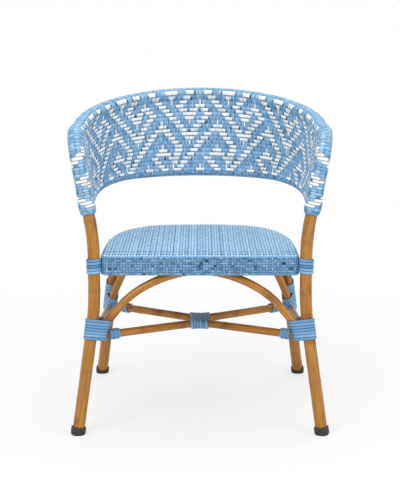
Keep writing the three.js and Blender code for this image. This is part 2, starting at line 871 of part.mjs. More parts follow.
// Where the bindings sit: the height of the lowest turn and the number of turns
// after it
const seatBindingRise = 7.5;
const seatBindingHeight = apronBottom + seatBindingRise;
const frontSeatBindingTurns = 4;
const rearSeatBindingTurns = 2;
const frontBindingHeight = 238.5;
const frontBindingTurns = 6;
const rearBindingHeight = 216.5;
const rearBindingTurns = 9;
const rearTopBindingTurns = 3;
const turnsApart = 1;
const frontSleeveTurns = 4;
const rearSleeveTurns = 3;
const sideSleeveTurns = 1;
const middleBindingTurns = 6;
const frontScrewHeight = 262;
const rearScrewHeight = 250;

const frontPole = [frontLegPath, mainPoleRadius];
const rearPole = [rearLegPath, mainPoleRadius];
const frontBundle = bundle(frontFoot, frontLegDirection, [
  frontPole,
  [partOf(frontArchHalf, 0, 0.5), archRadius],
], [bigArcSteps, smallArcSteps]);
const rearBundle = bundle(rearFoot, rearLegDirection, [
  rearPole,
  [partOf(rearArchHalf, 0, 0.5), archRadius],
], [bigArcSteps, smallArcSteps]);
const rearLegBundle = bundle(rearFoot, rearLegDirection, [rearPole], [windingSteps]);
const frontPostBundle = bundle(point(postX, 0, 0), upward, [frontPole], [windingSteps]);
const rearPostFoot = rearLegBend.clone().setZ(0);
const rearPostBundle = bundle(rearPostFoot, upward, [rearPole], [windingSteps], rearSeatEdge.outward);
const middleBundle = bundle(point(0, 0, 0), rightward, [
  [partOf(frontVeePath, 0.3, 0.7), stretcherRadius],
  [partOf(rearVeePath, 0.3, 0.7), stretcherRadius],
], [evenArcSteps, evenArcSteps]);

const frontBindingStart = frontBindingHeight / frontLegDirection.z;
const rearBindingStart = rearBindingHeight / rearLegDirection.z;
const rearTopBindingStart = rearBindingStart + strandPitch * (rearBindingTurns + turnsApart);
const frontBindingRoom = bindingRoom(frontBundle, frontBindingStart, frontBindingTurns);
const rearBindingRoom = bindingRoom(rearBundle, rearBindingStart, rearBindingTurns);

const sleeveRoom = 1.8;
const sleeveReachShare = 0.35;

// A sleeve: a strand wound round the end of a stretcher, from where it clears a leg's binding
function sleeve(path, radius, leg, turns) {
  const poles = [[partOf(path, 0, sleeveReachShare), radius]];
  const line = bundle(path.getPointAt(0), path.getTangentAt(0), poles, [thinWindingSteps], upward);
  const sleeveRadius = (radius + strandRoom + strandThickness) / Math.cos(Math.PI / thinWindingSteps);
  return winding(line, clearOf(leg, line, sleeveRadius) + strandWidth / 2 + sleeveRoom, turns);
}

// Rubber foot caps: a cup round the end of a leg, trimmed flat at the floor
const capRadius = 18.5;
const capBelow = 6;
const capTreadRadius = 11;
const capRound = 4;
const capTop = 20;
const capTrimSize = 120;
const capSides = 14;

function footCap(foot, direction) {
  const boreRadius = (mainPoleRadius + gap) / Math.cos(Math.PI / capSides);
  const cup = turned([
    [0, -capBelow],
    [capTreadRadius, -capBelow],
    [capRadius, capRound],
    [capRadius, capTop],
    [boreRadius, capTop],
    [boreRadius, legStart - gap],
    [0, legStart - gap],
  ], foot, direction, capSides);
  const below = new THREE.BoxGeometry(capTrimSize, capTrimSize, capTrimSize);
  return cut(cup, [below.translate(foot.x, foot.y, -capTrimSize / 2)]);
}

addPiece("seat_weave", seatWeave(), seatFinish);
addPiece("apron_band", apronBand(), seatFinish);
addPiece("seat_front_rail", frontRail(seatRingInset, seatRingHeight, seatRingRadius), rattanFinish);
addPiece("seat_hoop", pole(ringHoopPath, seatRingRadius, hoopSteps), rattanFinish);
const edgeFront = frontRail(edgePoleInset, edgePoleHeight, edgePoleRadius, thinPoleSides);
addPiece("apron_edge_front", edgeFront, rattanFinish);
addPiece("apron_edge_hoop", pole(edgeHoopPath, edgePoleRadius, hoopSteps, thinPoleSides), rattanFinish);
const ringRoom = pole(ringHoopPath, seatRingRadius + gap, hoopSteps);
crossRailPlaceShares.forEach((share, i) =>
  addPiece(`seat_cross_rail_${i + 1}`, crossRail(share, ringRoom), rattanFinish));
const bowRoom = pole(bowPath, mainPoleRadius + gap, bowSteps);
const railRoom = pole(backRailPath, backRailRadius + gap, backRailSteps, thinPoleSides);
const frontScrew = [
  onLeg(frontFoot, frontLegDirection, frontScrewHeight), mainPoleRadius, besideFrontLeg(frontScrewHeight)];
const rearScrew = [
  onLeg(rearFoot, rearLegDirection, rearScrewHeight), mainPoleRadius, besideRearLeg(rearScrewHeight)];
const frontHoles = [screwShape(...frontScrew, gap), mirroredGeometry(screwShape(...frontScrew, gap))];
const rearHoles = [screwShape(...rearScrew, gap), mirroredGeometry(screwShape(...rearScrew, gap))];
addPiece("bow_pole", cut(pole(bowPath, mainPoleRadius, bowSteps), frontHoles), rattanFinish);
addPiece("back_bottom_rail", backRail(bowRoom), rattanFinish);
addPiece("woven_back", wovenBack(), backFinish);
spindleAngles.forEach((angle, i) => {
  if (i + 1 < spindleAngles.length) {
    addPair(`back_spindle_${i + 1}`, spindle(angle, [bowRoom, railRoom]), rattanFinish);
  } else {
    addPiece("back_spindle_middle", spindle(angle, [bowRoom, railRoom]), rattanFinish);
  }
});

const rearLeg = bentPole(rearLegPath, mainPoleRadius, turnShares(rearLegPath), poleSides);
addPair("rear_leg", cut(rearLeg, rearHoles), rattanFinish);
addPiece("front_arch", cut(arch(frontArchHalf), frontHoles), rattanFinish);
addPiece("rear_arch", cut(arch(rearArchHalf), rearHoles), rattanFinish);
addPair("joint_screw_front", screwShape(...frontScrew), steelFinish);
addPair("joint_screw_rear", screwShape(...rearScrew), steelFinish);
const frontRooms = [frontBindingRoom, mirroredGeometry(frontBindingRoom)];
const rearRooms = [rearBindingRoom, mirroredGeometry(rearBindingRoom)];
addPiece("front_vee_stretcher", cut(veeStretcher(frontVeePath), frontRooms), rattanFinish);
addPiece("rear_vee_stretcher", cut(veeStretcher(rearVeePath), rearRooms), rattanFinish);
const sideStretcher = pole(sideStretcherPath, sideStretcherRadius, 1, thinPoleSides);
addPair("side_stretcher", cut(sideStretcher, [frontBindingRoom, rearBindingRoom]), rattanFinish);

const middleStart = -strandPitch * middleBindingTurns / 2;
const bindingPairs = {
  seat_binding_front: winding(frontPostBundle, seatBindingHeight, frontSeatBindingTurns),
  seat_binding_rear: winding(rearPostBundle, seatBindingHeight, rearSeatBindingTurns),
  front_leg_binding: winding(frontBundle, frontBindingStart, frontBindingTurns),
  rear_leg_binding: winding(rearBundle, rearBindingStart, rearBindingTurns),
  rear_leg_top_binding: winding(rearLegBundle, rearTopBindingStart, rearTopBindingTurns),
  front_vee_sleeve: sleeve(frontVeePath, stretcherRadius, frontBundle, frontSleeveTurns),
  rear_vee_sleeve: sleeve(rearVeePath, stretcherRadius, rearBundle, rearSleeveTurns),
  side_sleeve: sleeve(sideStretcherPath, sideStretcherRadius, frontBundle, sideSleeveTurns),
};
Object.entries(bindingPairs).forEach(([name, geometry]) => addPair(name, geometry, strandFinish));
addPiece("vee_middle_binding", winding(middleBundle, middleStart, middleBindingTurns), strandFinish);
addPair("front_foot_cap", footCap(frontFoot, frontLegDirection), rubberFinish);
addPair("rear_foot_cap", footCap(rearFoot, rearLegDirection), rubberFinish);
console.log(`least gap between the turns of a binding: ${leastTurnGap.toFixed(2)} mm`);

// The origin is on the floor, under the middle of the chair.
const span = new THREE.Box3().setFromObject(chair);
chair.position.y = -(span.min.y + span.max.y) / 2;

export default chair;
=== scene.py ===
"""Rattan bistro armchair: a bent cane frame with bound joints, and a back, a seat
and an apron woven of flat strands. Sizes are in millimetres, measured from the
floor and from the plane of the front posts, and each mesh is made in metres."""

import bpy
import numpy as np
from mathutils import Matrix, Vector


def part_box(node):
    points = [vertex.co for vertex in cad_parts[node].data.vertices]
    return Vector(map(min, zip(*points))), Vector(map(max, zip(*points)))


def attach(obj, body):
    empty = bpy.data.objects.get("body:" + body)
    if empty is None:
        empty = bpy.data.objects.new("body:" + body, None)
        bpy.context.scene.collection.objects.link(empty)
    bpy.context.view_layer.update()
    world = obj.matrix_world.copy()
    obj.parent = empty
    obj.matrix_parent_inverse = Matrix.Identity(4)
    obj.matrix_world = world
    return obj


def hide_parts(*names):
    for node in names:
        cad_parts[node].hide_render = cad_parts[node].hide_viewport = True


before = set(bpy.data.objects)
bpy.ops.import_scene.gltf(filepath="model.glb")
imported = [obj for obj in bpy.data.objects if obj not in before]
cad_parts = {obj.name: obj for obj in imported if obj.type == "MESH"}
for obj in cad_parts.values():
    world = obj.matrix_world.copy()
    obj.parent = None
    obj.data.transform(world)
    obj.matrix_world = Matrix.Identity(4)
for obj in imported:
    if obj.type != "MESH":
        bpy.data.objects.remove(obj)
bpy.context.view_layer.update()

# Bow: one long cane, 30 mm thick, steamed and bent so that the front legs, the
# arms and the top rail are a single piece. It is sanded and varnished, and its
# old leaf joints still show as faint rings.
METRE = 0.001
SEAT_FRONT_Y = -12
POSTS_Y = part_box("seat_weave")[0][1] / METRE - SEAT_FRONT_Y
UP = np.array([0.0, 0.0, 1.0])
BACK = np.array([0.0, 1.0, 0.0])
RIGHT = np.array([1.0, 0.0, 0.0])
MIRROR = np.array([-1.0, 1.0, 1.0])
BOTH_SIDES = (("_left", 1), ("_right", MIRROR))
WHITE = (255, 255, 255)
MAIN_RADIUS = 15
LEG_START = 12
BEND_PLACES = 25
CANE_STEP = 4.0
LEAF_STEP, LEAF_LENGTH, LEAF_RISE, LEAF_DARKNESS = 210.0, 5, 0.4, 0.4
WANDER_SHARE, WANDER_LENGTH, WANDER_FADE = 0.01, 47, 113
random = np.random.default_rng(7)


def unit(vector):
    """A vector, or each of many, divided by its length."""
    return vector / np.linalg.norm(vector, axis=-1, keepdims=True)


def square_to(direction, line):
    """A direction less its part along a line, made one long."""
    return unit(direction - line * (direction @ line))


def distances(line):
    """How far along a line each of its places lies."""
    return np.append(0, np.cumsum(np.linalg.norm(np.diff(line, axis=0), axis=1)))


def read_off(wanted, known, line):
    """Places on a line at the wanted distances, where those of its own are known."""
    return np.stack([np.interp(wanted, known, axis) for axis in line.T], axis=-1)


def evenly(line, step):
    """The places of a line resampled at equal distances along it."""
    reached = distances(line)
    wanted = np.linspace(0, reached[-1], max(2, int(round(reached[-1] / step)) + 1))
    return read_off(wanted, reached, line)


def circle(corners):
    """Corners spaced evenly round a circle of radius one."""
    turn = 2 * np.pi * np.arange(corners) / corners
    return np.stack([np.cos(turn), np.sin(turn)], axis=-1)


def bent_line(start, bends, end):
    """Straight runs joined by bends. A bend is the parabola that starts a reach
    before its corner, ends a reach after it, and heads for the corner at both
    ends: (1-t)^2 start + 2t(1-t) corner + t^2 end."""
    share = np.linspace(0, 1, BEND_PLACES)[:, None]
    places, reached = [start[None]], start
    for i, (corner, before, after) in enumerate(bends):
        ahead = bends[i + 1][0] if i + 1 < len(bends) else end
        first = corner - before * unit(corner - reached)
        last = corner + after * unit(ahead - corner)
        places.append((1 - share) ** 2 * first + 2 * share * (1 - share) * corner + share**2 * last)
        reached = last
    return np.concatenate([*places, end[None]])


def both_halves(left):
    """A line's left half, which ends at X = 0, and its mirror image run back."""
    return np.concatenate([left, (left * MIRROR)[-2::-1]])


def carried(line, profile, first_side=UP):
    """A closed profile carried along a line. Each ring stands square to the line,
    and its side direction is the last ring's, laid square to the new direction."""
    along = unit(np.gradient(line, axis=0))
    sides, side = [], first_side
    for run in along:
        side = square_to(side, run)
        sides.append(side)
    sides = np.array(sides)
    ups = np.cross(along, sides)
    return line[:, None] + profile[..., :1] * sides[:, None] + profile[..., 1:] * ups[:, None]


def tube_faces(count, rings, corners, joined=False):
    """Faces of tubes stored tube by tube, ring by ring, corner by corner: four
    corners between neighbouring rings, and one flat face over each open end."""
    numbers = np.arange(count * rings * corners).reshape(count, rings, corners)
    whole = np.concatenate([numbers, numbers[:, :1]], axis=1) if joined else numbers
    near, far = whole[:, :-1], whole[:, 1:]
    walls = np.stack([near, np.roll(near, -1, 2), np.roll(far, -1, 2), far], axis=-1)
    return [walls.reshape(-1, 4)] + ([] if joined else [numbers[:, 0, ::-1], numbers[:, -1]])


def signed_volume(places, faces):
    """Six times the volume inside: the sum over each face's fan of triangles of
    the first corner dotted with the cross product of the other two."""
    total = 0.0
    for group in faces:
        corners = places[group]
        spokes = np.cross(corners[:, 1:-1], corners[:, 2:])
        total += np.einsum("ik,ijk->", corners[:, 0], spokes)
    return total


def placed(name, data):
    """A new object in the scene, made of a mesh, a lamp or a lens."""
    thing = bpy.data.objects.new(name, data)
    bpy.context.scene.collection.objects.link(thing)
    return thing


def add_piece(name, places, faces, finish, slot, stands_for=(), **tones):
    """A mesh from places in millimetres and groups of faces, turned outward where
    its volume comes out negative. A tone is one number or vector for each place."""
    places = places.reshape(-1, 3)
    if signed_volume(places, faces) < 0:
        faces = [group[:, ::-1] for group in faces]
    counts = np.concatenate([np.full(len(group), group.shape[1]) for group in faces])
    corners = np.concatenate([group.ravel() for group in faces])
    mesh = bpy.data.meshes.new(name)
    mesh.vertices.add(len(places))
    mesh.vertices.foreach_set("co", ((places + POSTS_Y * BACK) * METRE).astype(np.float32).ravel())
    mesh.loops.add(len(corners))
    mesh.loops.foreach_set("vertex_index", corners.astype(np.int32))
    mesh.polygons.add(len(counts))
    mesh.polygons.foreach_set("loop_start", (np.cumsum(counts) - counts).astype(np.int32))
    mesh.polygons.foreach_set("use_smooth", np.arange(len(counts)) < len(faces[0]))
    for tone, values in tones.items():
        values = np.asarray(values, np.float32)
        kind, field = ("FLOAT_VECTOR", "vector") if values.shape[-1] == 3 else ("FLOAT", "value")
        mesh.attributes.new(tone, kind, "POINT").data.foreach_set(field, values.ravel())
    mesh.update(calc_edges=True)
    mesh.materials.append(finish)
    piece = placed(name, mesh)
    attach(piece, "root")
    if stands_for:
        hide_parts(*stands_for)


def paint(red, green, blue):
    """A colour as it is seen, 0 to 255, in the shader's own linear numbers."""
    seen = np.array([red, green, blue]) / 255
    linear = np.where(seen <= 0.04045, seen / 12.92, ((seen + 0.055) / 1.055) ** 2.4)
    return (*linear.tolist(), 1.0)


def new_finish(name, **sockets):
    """A node material whose shader starts with the given values."""
    finish = bpy.data.materials.new(name)
    finish.use_nodes = True
    shader = finish.node_tree.nodes["Principled BSDF"]
    for socket, value in sockets.items():
        shader.inputs[socket.replace("_", " ")].default_value = value
    return finish, finish.node_tree, shader


def node(tree, kind, inputs, **settings):
    """A node with its settings, and with values or links for its inputs."""
    made = tree.nodes.new(kind)
    for key, value in settings.items():
        setattr(made, key, value)
    for socket, value in inputs.items():
        if isinstance(value, bpy.types.NodeSocket):
            tree.links.new(value, made.inputs[socket])
        else:
            made.inputs[socket].default_value = value
    return made


def own_place(tree):
    """The shaded place in the piece's own frame, in metres."""
    return node(tree, "ShaderNodeTexCoord", {}).outputs["Object"]


def stored(tree, tone, output="Fac"):
    """A tone that the piece's mesh holds."""
    return node(tree, "ShaderNodeAttribute", {}, attribute_name=tone).outputs[output]


def ramp(tree, factor, *stops):
    """A colour that runs through stops, each a place from 0 to 1 and a colour."""
    made = node(tree, "ShaderNodeValToRGB", {"Fac": factor})
    while len(made.color_ramp.elements) < len(stops):
        made.color_ramp.elements.new(1)
    for element, (place, *colour) in zip(made.color_ramp.elements, stops):
        element.position = place
        element.color = paint(*colour)
    return made.outputs["Color"]


def noise(tree, where, scale, detail=3.0, stretch=(1, 1, 1)):
    """Cloudy noise at a scale, its coordinates first stretched."""
    scaled = node(tree, "ShaderNodeMapping", {"Vector": where, "Scale": stretch}).outputs[0]
    return node(tree, "ShaderNodeTexNoise", {"Vector": scaled, "Scale": scale, "Detail": detail}).outputs[0]


def blended(tree, factor, first, second, kind="MIX"):
    """Two colours blended by a factor."""
    inputs = {0: factor, 6: first, 7: second}
    return node(tree, "ShaderNodeMix", inputs, data_type="RGBA", blend_type=kind).outputs[2]


def tinted(tree, colour, factor, *stops):
    """A colour multiplied by that of a ramp."""
    return blended(tree, 1.0, colour, ramp(tree, factor, *stops), "MULTIPLY")


def marked(tree, shader, colour, marks, strength, depth, rough=()):
    """Gives a shader its colour, a bump drawn by marks to a depth in millimetres,
    and a roughness that the marks swing between two values."""
    tree.links.new(colour, shader.inputs["Base Color"])
    bump = node(tree, "ShaderNodeBump", {"Height": marks, "Strength": strength, "Distance": depth * METRE})
    tree.links.new(bump.outputs[0], shader.inputs["Normal"])
    if rough:
        swing = node(tree, "ShaderNodeMapRange", {"Value": marks, "To Min": rough[0], "To Max": rough[1]})
        tree.links.new(swing.outputs[0], shader.inputs["Roughness"])


def cane_finish(name, along_cane):
    """Honey varnish over cane: long fine streaks, broad cloudy mottling and dark
    rings at the old leaf joints. Streaks follow the cane where its places say how."""
    finish, tree, shader = new_finish(name, Coat_Weight=0.16, Coat_Roughness=0.2, Coat_IOR=1.45)
    place = own_place(tree)
    lay = stored(tree, "lay", "Vector") if along_cane else place
    streaks = noise(tree, lay, 1.0, 5.0, (420, 420, 10))
    fibres = noise(tree, lay, 1.0, 2.0, (1500, 1500, 30))
    clouds = noise(tree, place, 16.0)
    honey = (0.30, 146, 94, 20), (0.45, 170, 113, 26), (0.58, 182, 125, 34), (0.72, 200, 146, 58)
    colour = tinted(tree, ramp(tree, streaks, *honey), clouds, (0.32, 206, 182, 140), (0.46, *WHITE))
    colour = tinted(tree, colour, fibres, (0.3, 214, 206, 196), (0.62, *WHITE))
    if along_cane:
        colour = blended(tree, stored(tree, "ring"), colour, paint(126, 82, 30))
    marked(tree, shader, colour, streaks, 0.25, 0.6, rough=(0.30, 0.46))
    return finish


cane = cane_finish("varnished_cane", True)
cane_inside = cane_finish("varnished_cane_inside", False)


def add_cane(name, line, radius, stands_for, sides=28):
    """A cane along a line: a round section whose radius wanders by 1% and swells
    over each leaf joint, by rise exp(-(distance / length)^2)."""
    line = evenly(line, CANE_STEP)
    reached = CANE_STEP * np.arange(len(line))
    joints = np.arange(random.uniform(0.25, 0.8) * LEAF_STEP, reached[-1], LEAF_STEP)
    joints = joints + random.uniform(-0.15, 0.15, len(joints)) * LEAF_STEP
    near = np.exp(-(((reached[:, None] - joints) / LEAF_LENGTH) ** 2)).sum(1)
    swing = np.sin(reached / WANDER_LENGTH + random.uniform(0, 6)) * np.sin(reached / WANDER_FADE)
    profile = (radius * (1 + WANDER_SHARE * swing) + LEAF_RISE * near)[:, None, None] * circle(sides)
    lay = np.broadcast_to(reached[:, None, None] * METRE, (len(line), sides, 3)).copy()
    lay[..., :2] = radius * METRE * circle(sides) + random.uniform(0, 9, 2)
    ring = np.broadcast_to(LEAF_DARKNESS * near[:, None] ** 3, (len(line), sides))
    faces = tube_faces(1, len(line), sides)
    add_piece(name, carried(line, profile), faces, cane, "rattan", stands_for, lay=lay, ring=ring)


POST_X = -259.805
ARM_X, ARM_HEIGHT = -305.0, 742.0
TOP_CURVE_Y, TOP_DEPTH, TOP_RISE, TOP_PLACES = 180, 320, 61, 160
FRONT_FOOT = np.array([-304.0, -30.0, 0.0])
LEG_BEND = np.array([POST_X, 0.0, 312.0])
FLARE_BEND = np.array([POST_X, 0.0, 490.0])
ARM_BEND = np.array([ARM_X, 0.0, ARM_HEIGHT])
# Each bend's corner, and the bend's reach before and after it.
BOW_BENDS = [(LEG_BEND, 60, 60), (FLARE_BEND, 45, 45), (ARM_BEND, 90, 75)]
front_run = unit(LEG_BEND - FRONT_FOOT)


def top_rail(angle):
    """The top rail by its angle, 0 at the left arm: an ellipse seen from above
    that rises from the arms to the middle of the back as sin^1.05."""
    back = np.sin(angle)
    height = ARM_HEIGHT + TOP_RISE * back**1.05
    return np.stack([ARM_X * np.cos(angle), TOP_CURVE_Y + TOP_DEPTH * back, height], axis=-1)


bow_left = np.concatenate([
    bent_line(FRONT_FOOT + LEG_START * front_run, BOW_BENDS, top_rail(0.0)),
    top_rail(np.linspace(0, np.pi / 2, TOP_PLACES)[1:]),
])
add_cane("bow_cane", both_halves(bow_left), MAIN_RADIUS, ["bow_pole"])

# Rear legs: two canes as thick as the bow. They rake back and out to the floor
# and turn upright beside the seat, where they are bound to its rim.
REAR_FOOT = np.array([-284.0, 501.0, 0.0])
REAR_BEND_HEIGHT, REAR_BEND_REACH = 372, 27
REAR_TOP = 427
REAR_LEG_ANGLE = np.radians(36.0)
CLEARANCE = 0.3
# The frame's bindings have ten flats to a turn, this far out from the leg's centre.
BOUND_FLATS = 18.55
BOUND_RADIUS = BOUND_FLATS / np.cos(np.pi / 10)
SEAT_HALF = 240
SEAT_CURVE_Y, SEAT_CURVE_DEPTH = 8, 424
SEAT_ROUNDNESS = 3.2


def seat_edge(angle):
    """The seat's side and back by an angle, 0 at the left front and pi at the
    right: |x|^3.2 + |y|^3.2 = 1 scaled to its size. Gives place and outward."""
    across = -np.sign(np.cos(angle)) * np.abs(np.cos(angle)) ** (2 / SEAT_ROUNDNESS)
    along = np.abs(np.sin(angle)) ** (2 / SEAT_ROUNDNESS)
    lean = np.sign(across) * np.abs(across) ** (SEAT_ROUNDNESS - 1) / SEAT_HALF
    outward = np.stack([lean, along ** (SEAT_ROUNDNESS - 1) / SEAT_CURVE_DEPTH, 0 * lean], axis=-1)
    place = np.stack([SEAT_HALF * across, SEAT_CURVE_Y + SEAT_CURVE_DEPTH * along, 0 * across], axis=-1)
    return place, unit(outward)


leg_edge, leg_outward = seat_edge(REAR_LEG_ANGLE)
rear_bend = leg_edge + leg_outward * (CLEARANCE + BOUND_RADIUS) + REAR_BEND_HEIGHT * UP
rear_run = unit(rear_bend - REAR_FOOT)
rear_top = rear_bend + (REAR_TOP - REAR_BEND_HEIGHT) * UP
rear_bends = [(rear_bend, REAR_BEND_REACH, REAR_BEND_REACH)]
rear_leg = bent_line(REAR_FOOT + LEG_START * rear_run, rear_bends, rear_top)
for side, flip in BOTH_SIDES:
    add_cane("rear_leg_cane" + side, rear_leg * flip, MAIN_RADIUS, ["rear_leg" + side])

# Arches: two thinner canes that start inside the legs, run up beside them and
# over a shoulder, and pass level under the seat to carry its frame.
THIN_RADIUS = 10
CROSS_YS = [135.2, 253.92]
FRONT_OFFSET = 25.6
REAR_OFFSET = BOUND_RADIUS + CLEARANCE + THIN_RADIUS
REAR_OFFSET_ANGLE = np.radians(12)
ARCH_BEND_REACH, SHOULDER_REACH, ARCH_PLACES = 20, 50, 60
FRONT_ARCH_HEIGHTS, FRONT_MIDDLE_REACH = (241, 274), 75
REAR_ARCH_HEIGHTS, REAR_MIDDLE_REACH = (217, 285), 100
FRONT_SHOULDER, FRONT_MIDDLE = np.array([-190, 3.8, 327]), np.array([0, 15.0, 406.1])
REAR_SHOULDER, REAR_MIDDLE = np.array([-212.4, 299, 328.8]), np.array([0, CROSS_YS[1], 418.1])

rear_inward = np.array([np.sin(REAR_OFFSET_ANGLE), -np.cos(REAR_OFFSET_ANGLE), 0])
to_front_arch = FRONT_OFFSET * square_to(RIGHT, front_run)
to_rear_arch = REAR_OFFSET * square_to(rear_inward, rear_run)


def on_front_leg(height, share=0.0):
    """The place on the left front leg at a height, moved by a share to its arch."""
    return FRONT_FOOT + front_run * height / front_run[2] + share * to_front_arch


def on_rear_leg(height, share=0.0):
    """The place on the left rear leg at a height, moved by a share to its arch."""
    return REAR_FOOT + rear_run * height / rear_run[2] + share * to_rear_arch


def arch_line(low, high, shoulder, level_reach, middle):
    """An arch's left half: up beside the leg, a bend, straight to the shoulder,
    then the cubic that leaves along that run and arrives level at the middle."""
    rise = bent_line(low, [(high, ARCH_BEND_REACH, ARCH_BEND_REACH)], shoulder)
    rising = unit(shoulder - high)
    share = np.linspace(0, 1, ARCH_PLACES)[1:, None]
    weights = [(1 - share) ** 3, 3 * share * (1 - share) ** 2, 3 * share**2 * (1 - share), share**3]
    holds = [shoulder, shoulder + SHOULDER_REACH * rising, middle - level_reach * RIGHT, middle]
    over = sum(weight * hold for weight, hold in zip(weights, holds))
    return np.concatenate([rise, over])


front_ends = [on_front_leg(height, 1) for height in FRONT_ARCH_HEIGHTS]
rear_ends = [on_rear_leg(height, 1) for height in REAR_ARCH_HEIGHTS]
front_arch = arch_line(*front_ends, FRONT_SHOULDER, FRONT_MIDDLE_REACH, FRONT_MIDDLE)
rear_arch = arch_line(*rear_ends, REAR_SHOULDER, REAR_MIDDLE_REACH, REAR_MIDDLE)
add_cane("front_arch_cane", both_halves(front_arch), THIN_RADIUS, ["front_arch"], sides=22)
add_cane("rear_arch_cane", both_halves(rear_arch), THIN_RADIUS, ["rear_arch"], sides=22)

# Stretchers: a V of cane between the front legs and one between the rear legs
# meet in the middle of the chair, and a straight cane ties the legs at each side.
SIDE_RADIUS = 8
VEE_REACH = 52
FRONT_VEE_HEIGHT, FRONT_APEX, FRONT_CUT = 251.5, np.array([0, 190, 229.4]), 13
REAR_VEE_HEIGHT, REAR_APEX, REAR_CUT = 227, np.array([0, 210, 233.7]), 17
SIDE_FRONT_HEIGHT, SIDE_FRONT_SHARE, SIDE_FRONT_CUT = 283, 0.7, 18
SIDE_REAR_HEIGHT, SIDE_REAR_CUT = 224, 19


def vee_line(start, apex):
    """A V: straight from a place on the left to a bend at the apex, and back."""
    return evenly(bent_line(start, [(apex, VEE_REACH, VEE_REACH)], start * MIRROR), 1.0)


front_vee = vee_line(on_front_leg(FRONT_VEE_HEIGHT, 1), FRONT_APEX)
rear_vee = vee_line(on_rear_leg(REAR_VEE_HEIGHT), REAR_APEX)
side_ends = [on_front_leg(SIDE_FRONT_HEIGHT, SIDE_FRONT_SHARE), on_rear_leg(SIDE_REAR_HEIGHT)]
side_line = evenly(np.stack(side_ends), 1.0)
# These lines run to the legs' own, and each cane stops inside the leg's binding.
front_part, rear_part = front_vee[FRONT_CUT:-FRONT_CUT], rear_vee[REAR_CUT:-REAR_CUT]
side_part = side_line[SIDE_FRONT_CUT:-SIDE_REAR_CUT]
add_cane("front_vee_cane", front_part, THIN_RADIUS, ["front_vee_stretcher"], sides=22)
add_cane("rear_vee_cane", rear_part, THIN_RADIUS, ["rear_vee_stretcher"], sides=22)
for side, flip in BOTH_SIDES:
    stands_for = ["side_stretcher" + side]
    add_cane("side_stretcher_cane" + side, side_part * flip, SIDE_RADIUS, stands_for, sides=20)

# Seat frame: a thick ring of cane under the seat, made of a straight front rail
# and a hoop, a thin cane in the bottom edge of the apron, and two cross rails.
SEAT_CORNER = 20
HOOP_PLACES = 400
RING_INSET, RING_HEIGHT, RING_RADIUS = 18.7, 430.4, 14
EDGE_INSET, EDGE_HEIGHT, EDGE_RADIUS = 10.7, 407.8, 6
CROSS_RADIUS, CROSS_HEIGHT = 8, 436.4


def seat_hoop(inset, height, start_y):
    """The seat's side and back, drawn in by an inset, from a place in front."""
    share = max(0.0, (start_y - SEAT_CURVE_Y) / SEAT_CURVE_DEPTH)
    first = np.arcsin(share ** (SEAT_ROUNDNESS / 2))
    place, outward = seat_edge(np.linspace(first, np.pi - first, HOOP_PLACES))
    return place - inset * outward + height * UP


def front_rail(inset, height):
    """The straight line across the front, between the seat's corners."""
    reach, y = SEAT_HALF - SEAT_CORNER, SEAT_FRONT_Y + inset
    return np.array([[-reach, y, height], [reach, y, height]], float)


ring_hoop = seat_hoop(RING_INSET, RING_HEIGHT, SEAT_FRONT_Y + RING_INSET + RING_RADIUS + CLEARANCE)
edge_hoop = seat_hoop(EDGE_INSET, EDGE_HEIGHT, SEAT_CURVE_Y)
edge_front = front_rail(EDGE_INSET, EDGE_HEIGHT)
add_cane("seat_front_cane", front_rail(RING_INSET, RING_HEIGHT), RING_RADIUS, ["seat_front_rail"])
add_cane("seat_hoop_cane", ring_hoop, RING_RADIUS, ["seat_hoop"])
add_cane("edge_front_cane", edge_front, EDGE_RADIUS, ["apron_edge_front"], sides=18)
add_cane("edge_hoop_cane", edge_hoop, EDGE_RADIUS, ["apron_edge_hoop"], sides=18)
left_half = ring_hoop[ring_hoop[:, 0] < 0]
for number, cross_y in enumerate(CROSS_YS, 1):
    reach = -np.interp(cross_y, left_half[:, 1], left_half[:, 0]) - RING_RADIUS
    line = np.array([[-reach, cross_y, CROSS_HEIGHT], [reach, cross_y, CROSS_HEIGHT]])
    add_cane(f"seat_cross_cane_{number}", line, CROSS_RADIUS, [f"seat_cross_rail_{number}"], sides=20)


# Inside the back, hidden by the weave, a bottom rail and seven spindles of thin
# cane join the posts and the top rail. They are the frame's own pieces, varnished.
def refinish(names, finish):
    """Gives pieces of the frame a finish."""
    for name in names:
        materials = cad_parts[name].data.materials
        materials.clear()
        materials.append(finish)


spindles = [f"back_spindle_{i}{side}" for i in (1, 2, 3) for side, _ in BOTH_SIDES]
refinish(["back_bottom_rail", "back_spindle_middle", *spindles], cane_inside)

# Woven back: flat strands of resin rattan, pulled over the posts, the top rail
# and the bottom rail and woven together. The upright strands go right round the
# section, the level ones run from post to post, and white floats draw diamonds.
RAIL_RADIUS, SPINDLE_RADIUS = 10, 6
WEAVE_ROOM = 2.9
STRAND_LIFT, STRAND_THICK = 0.9, 1.5
WARP_SHARE, WEFT_SHARE, TOP_SHARE = 0.45, 0.4, 0.78
ROWS = 23
LOOP_ROWS = 2 * ROWS
TOP_ROUND_ROWS, BOTTOM_ROUND_ROWS = 3, 3.2
COLUMN_PITCH = 5.25
POST_PITCH, POST_COLUMNS = 7.6, 24
REPEAT, DRAFT_START = 32, 30
# The posts' zigzag climbs so many rows with each column, from each of its rows.
ZIGZAG_COLUMNS, ZIGZAG_PERIOD, ZIGZAG_CLIMB = range(2, 21), 24, 0.85
ZIGZAG_ROWS = (0, 6, -6)
FINE = 2
FULL_PITCH, FINEST = 4.2, 0.12
WEAVE_END_HEIGHT, WEAVE_FIRST_HEIGHT = 553, 577
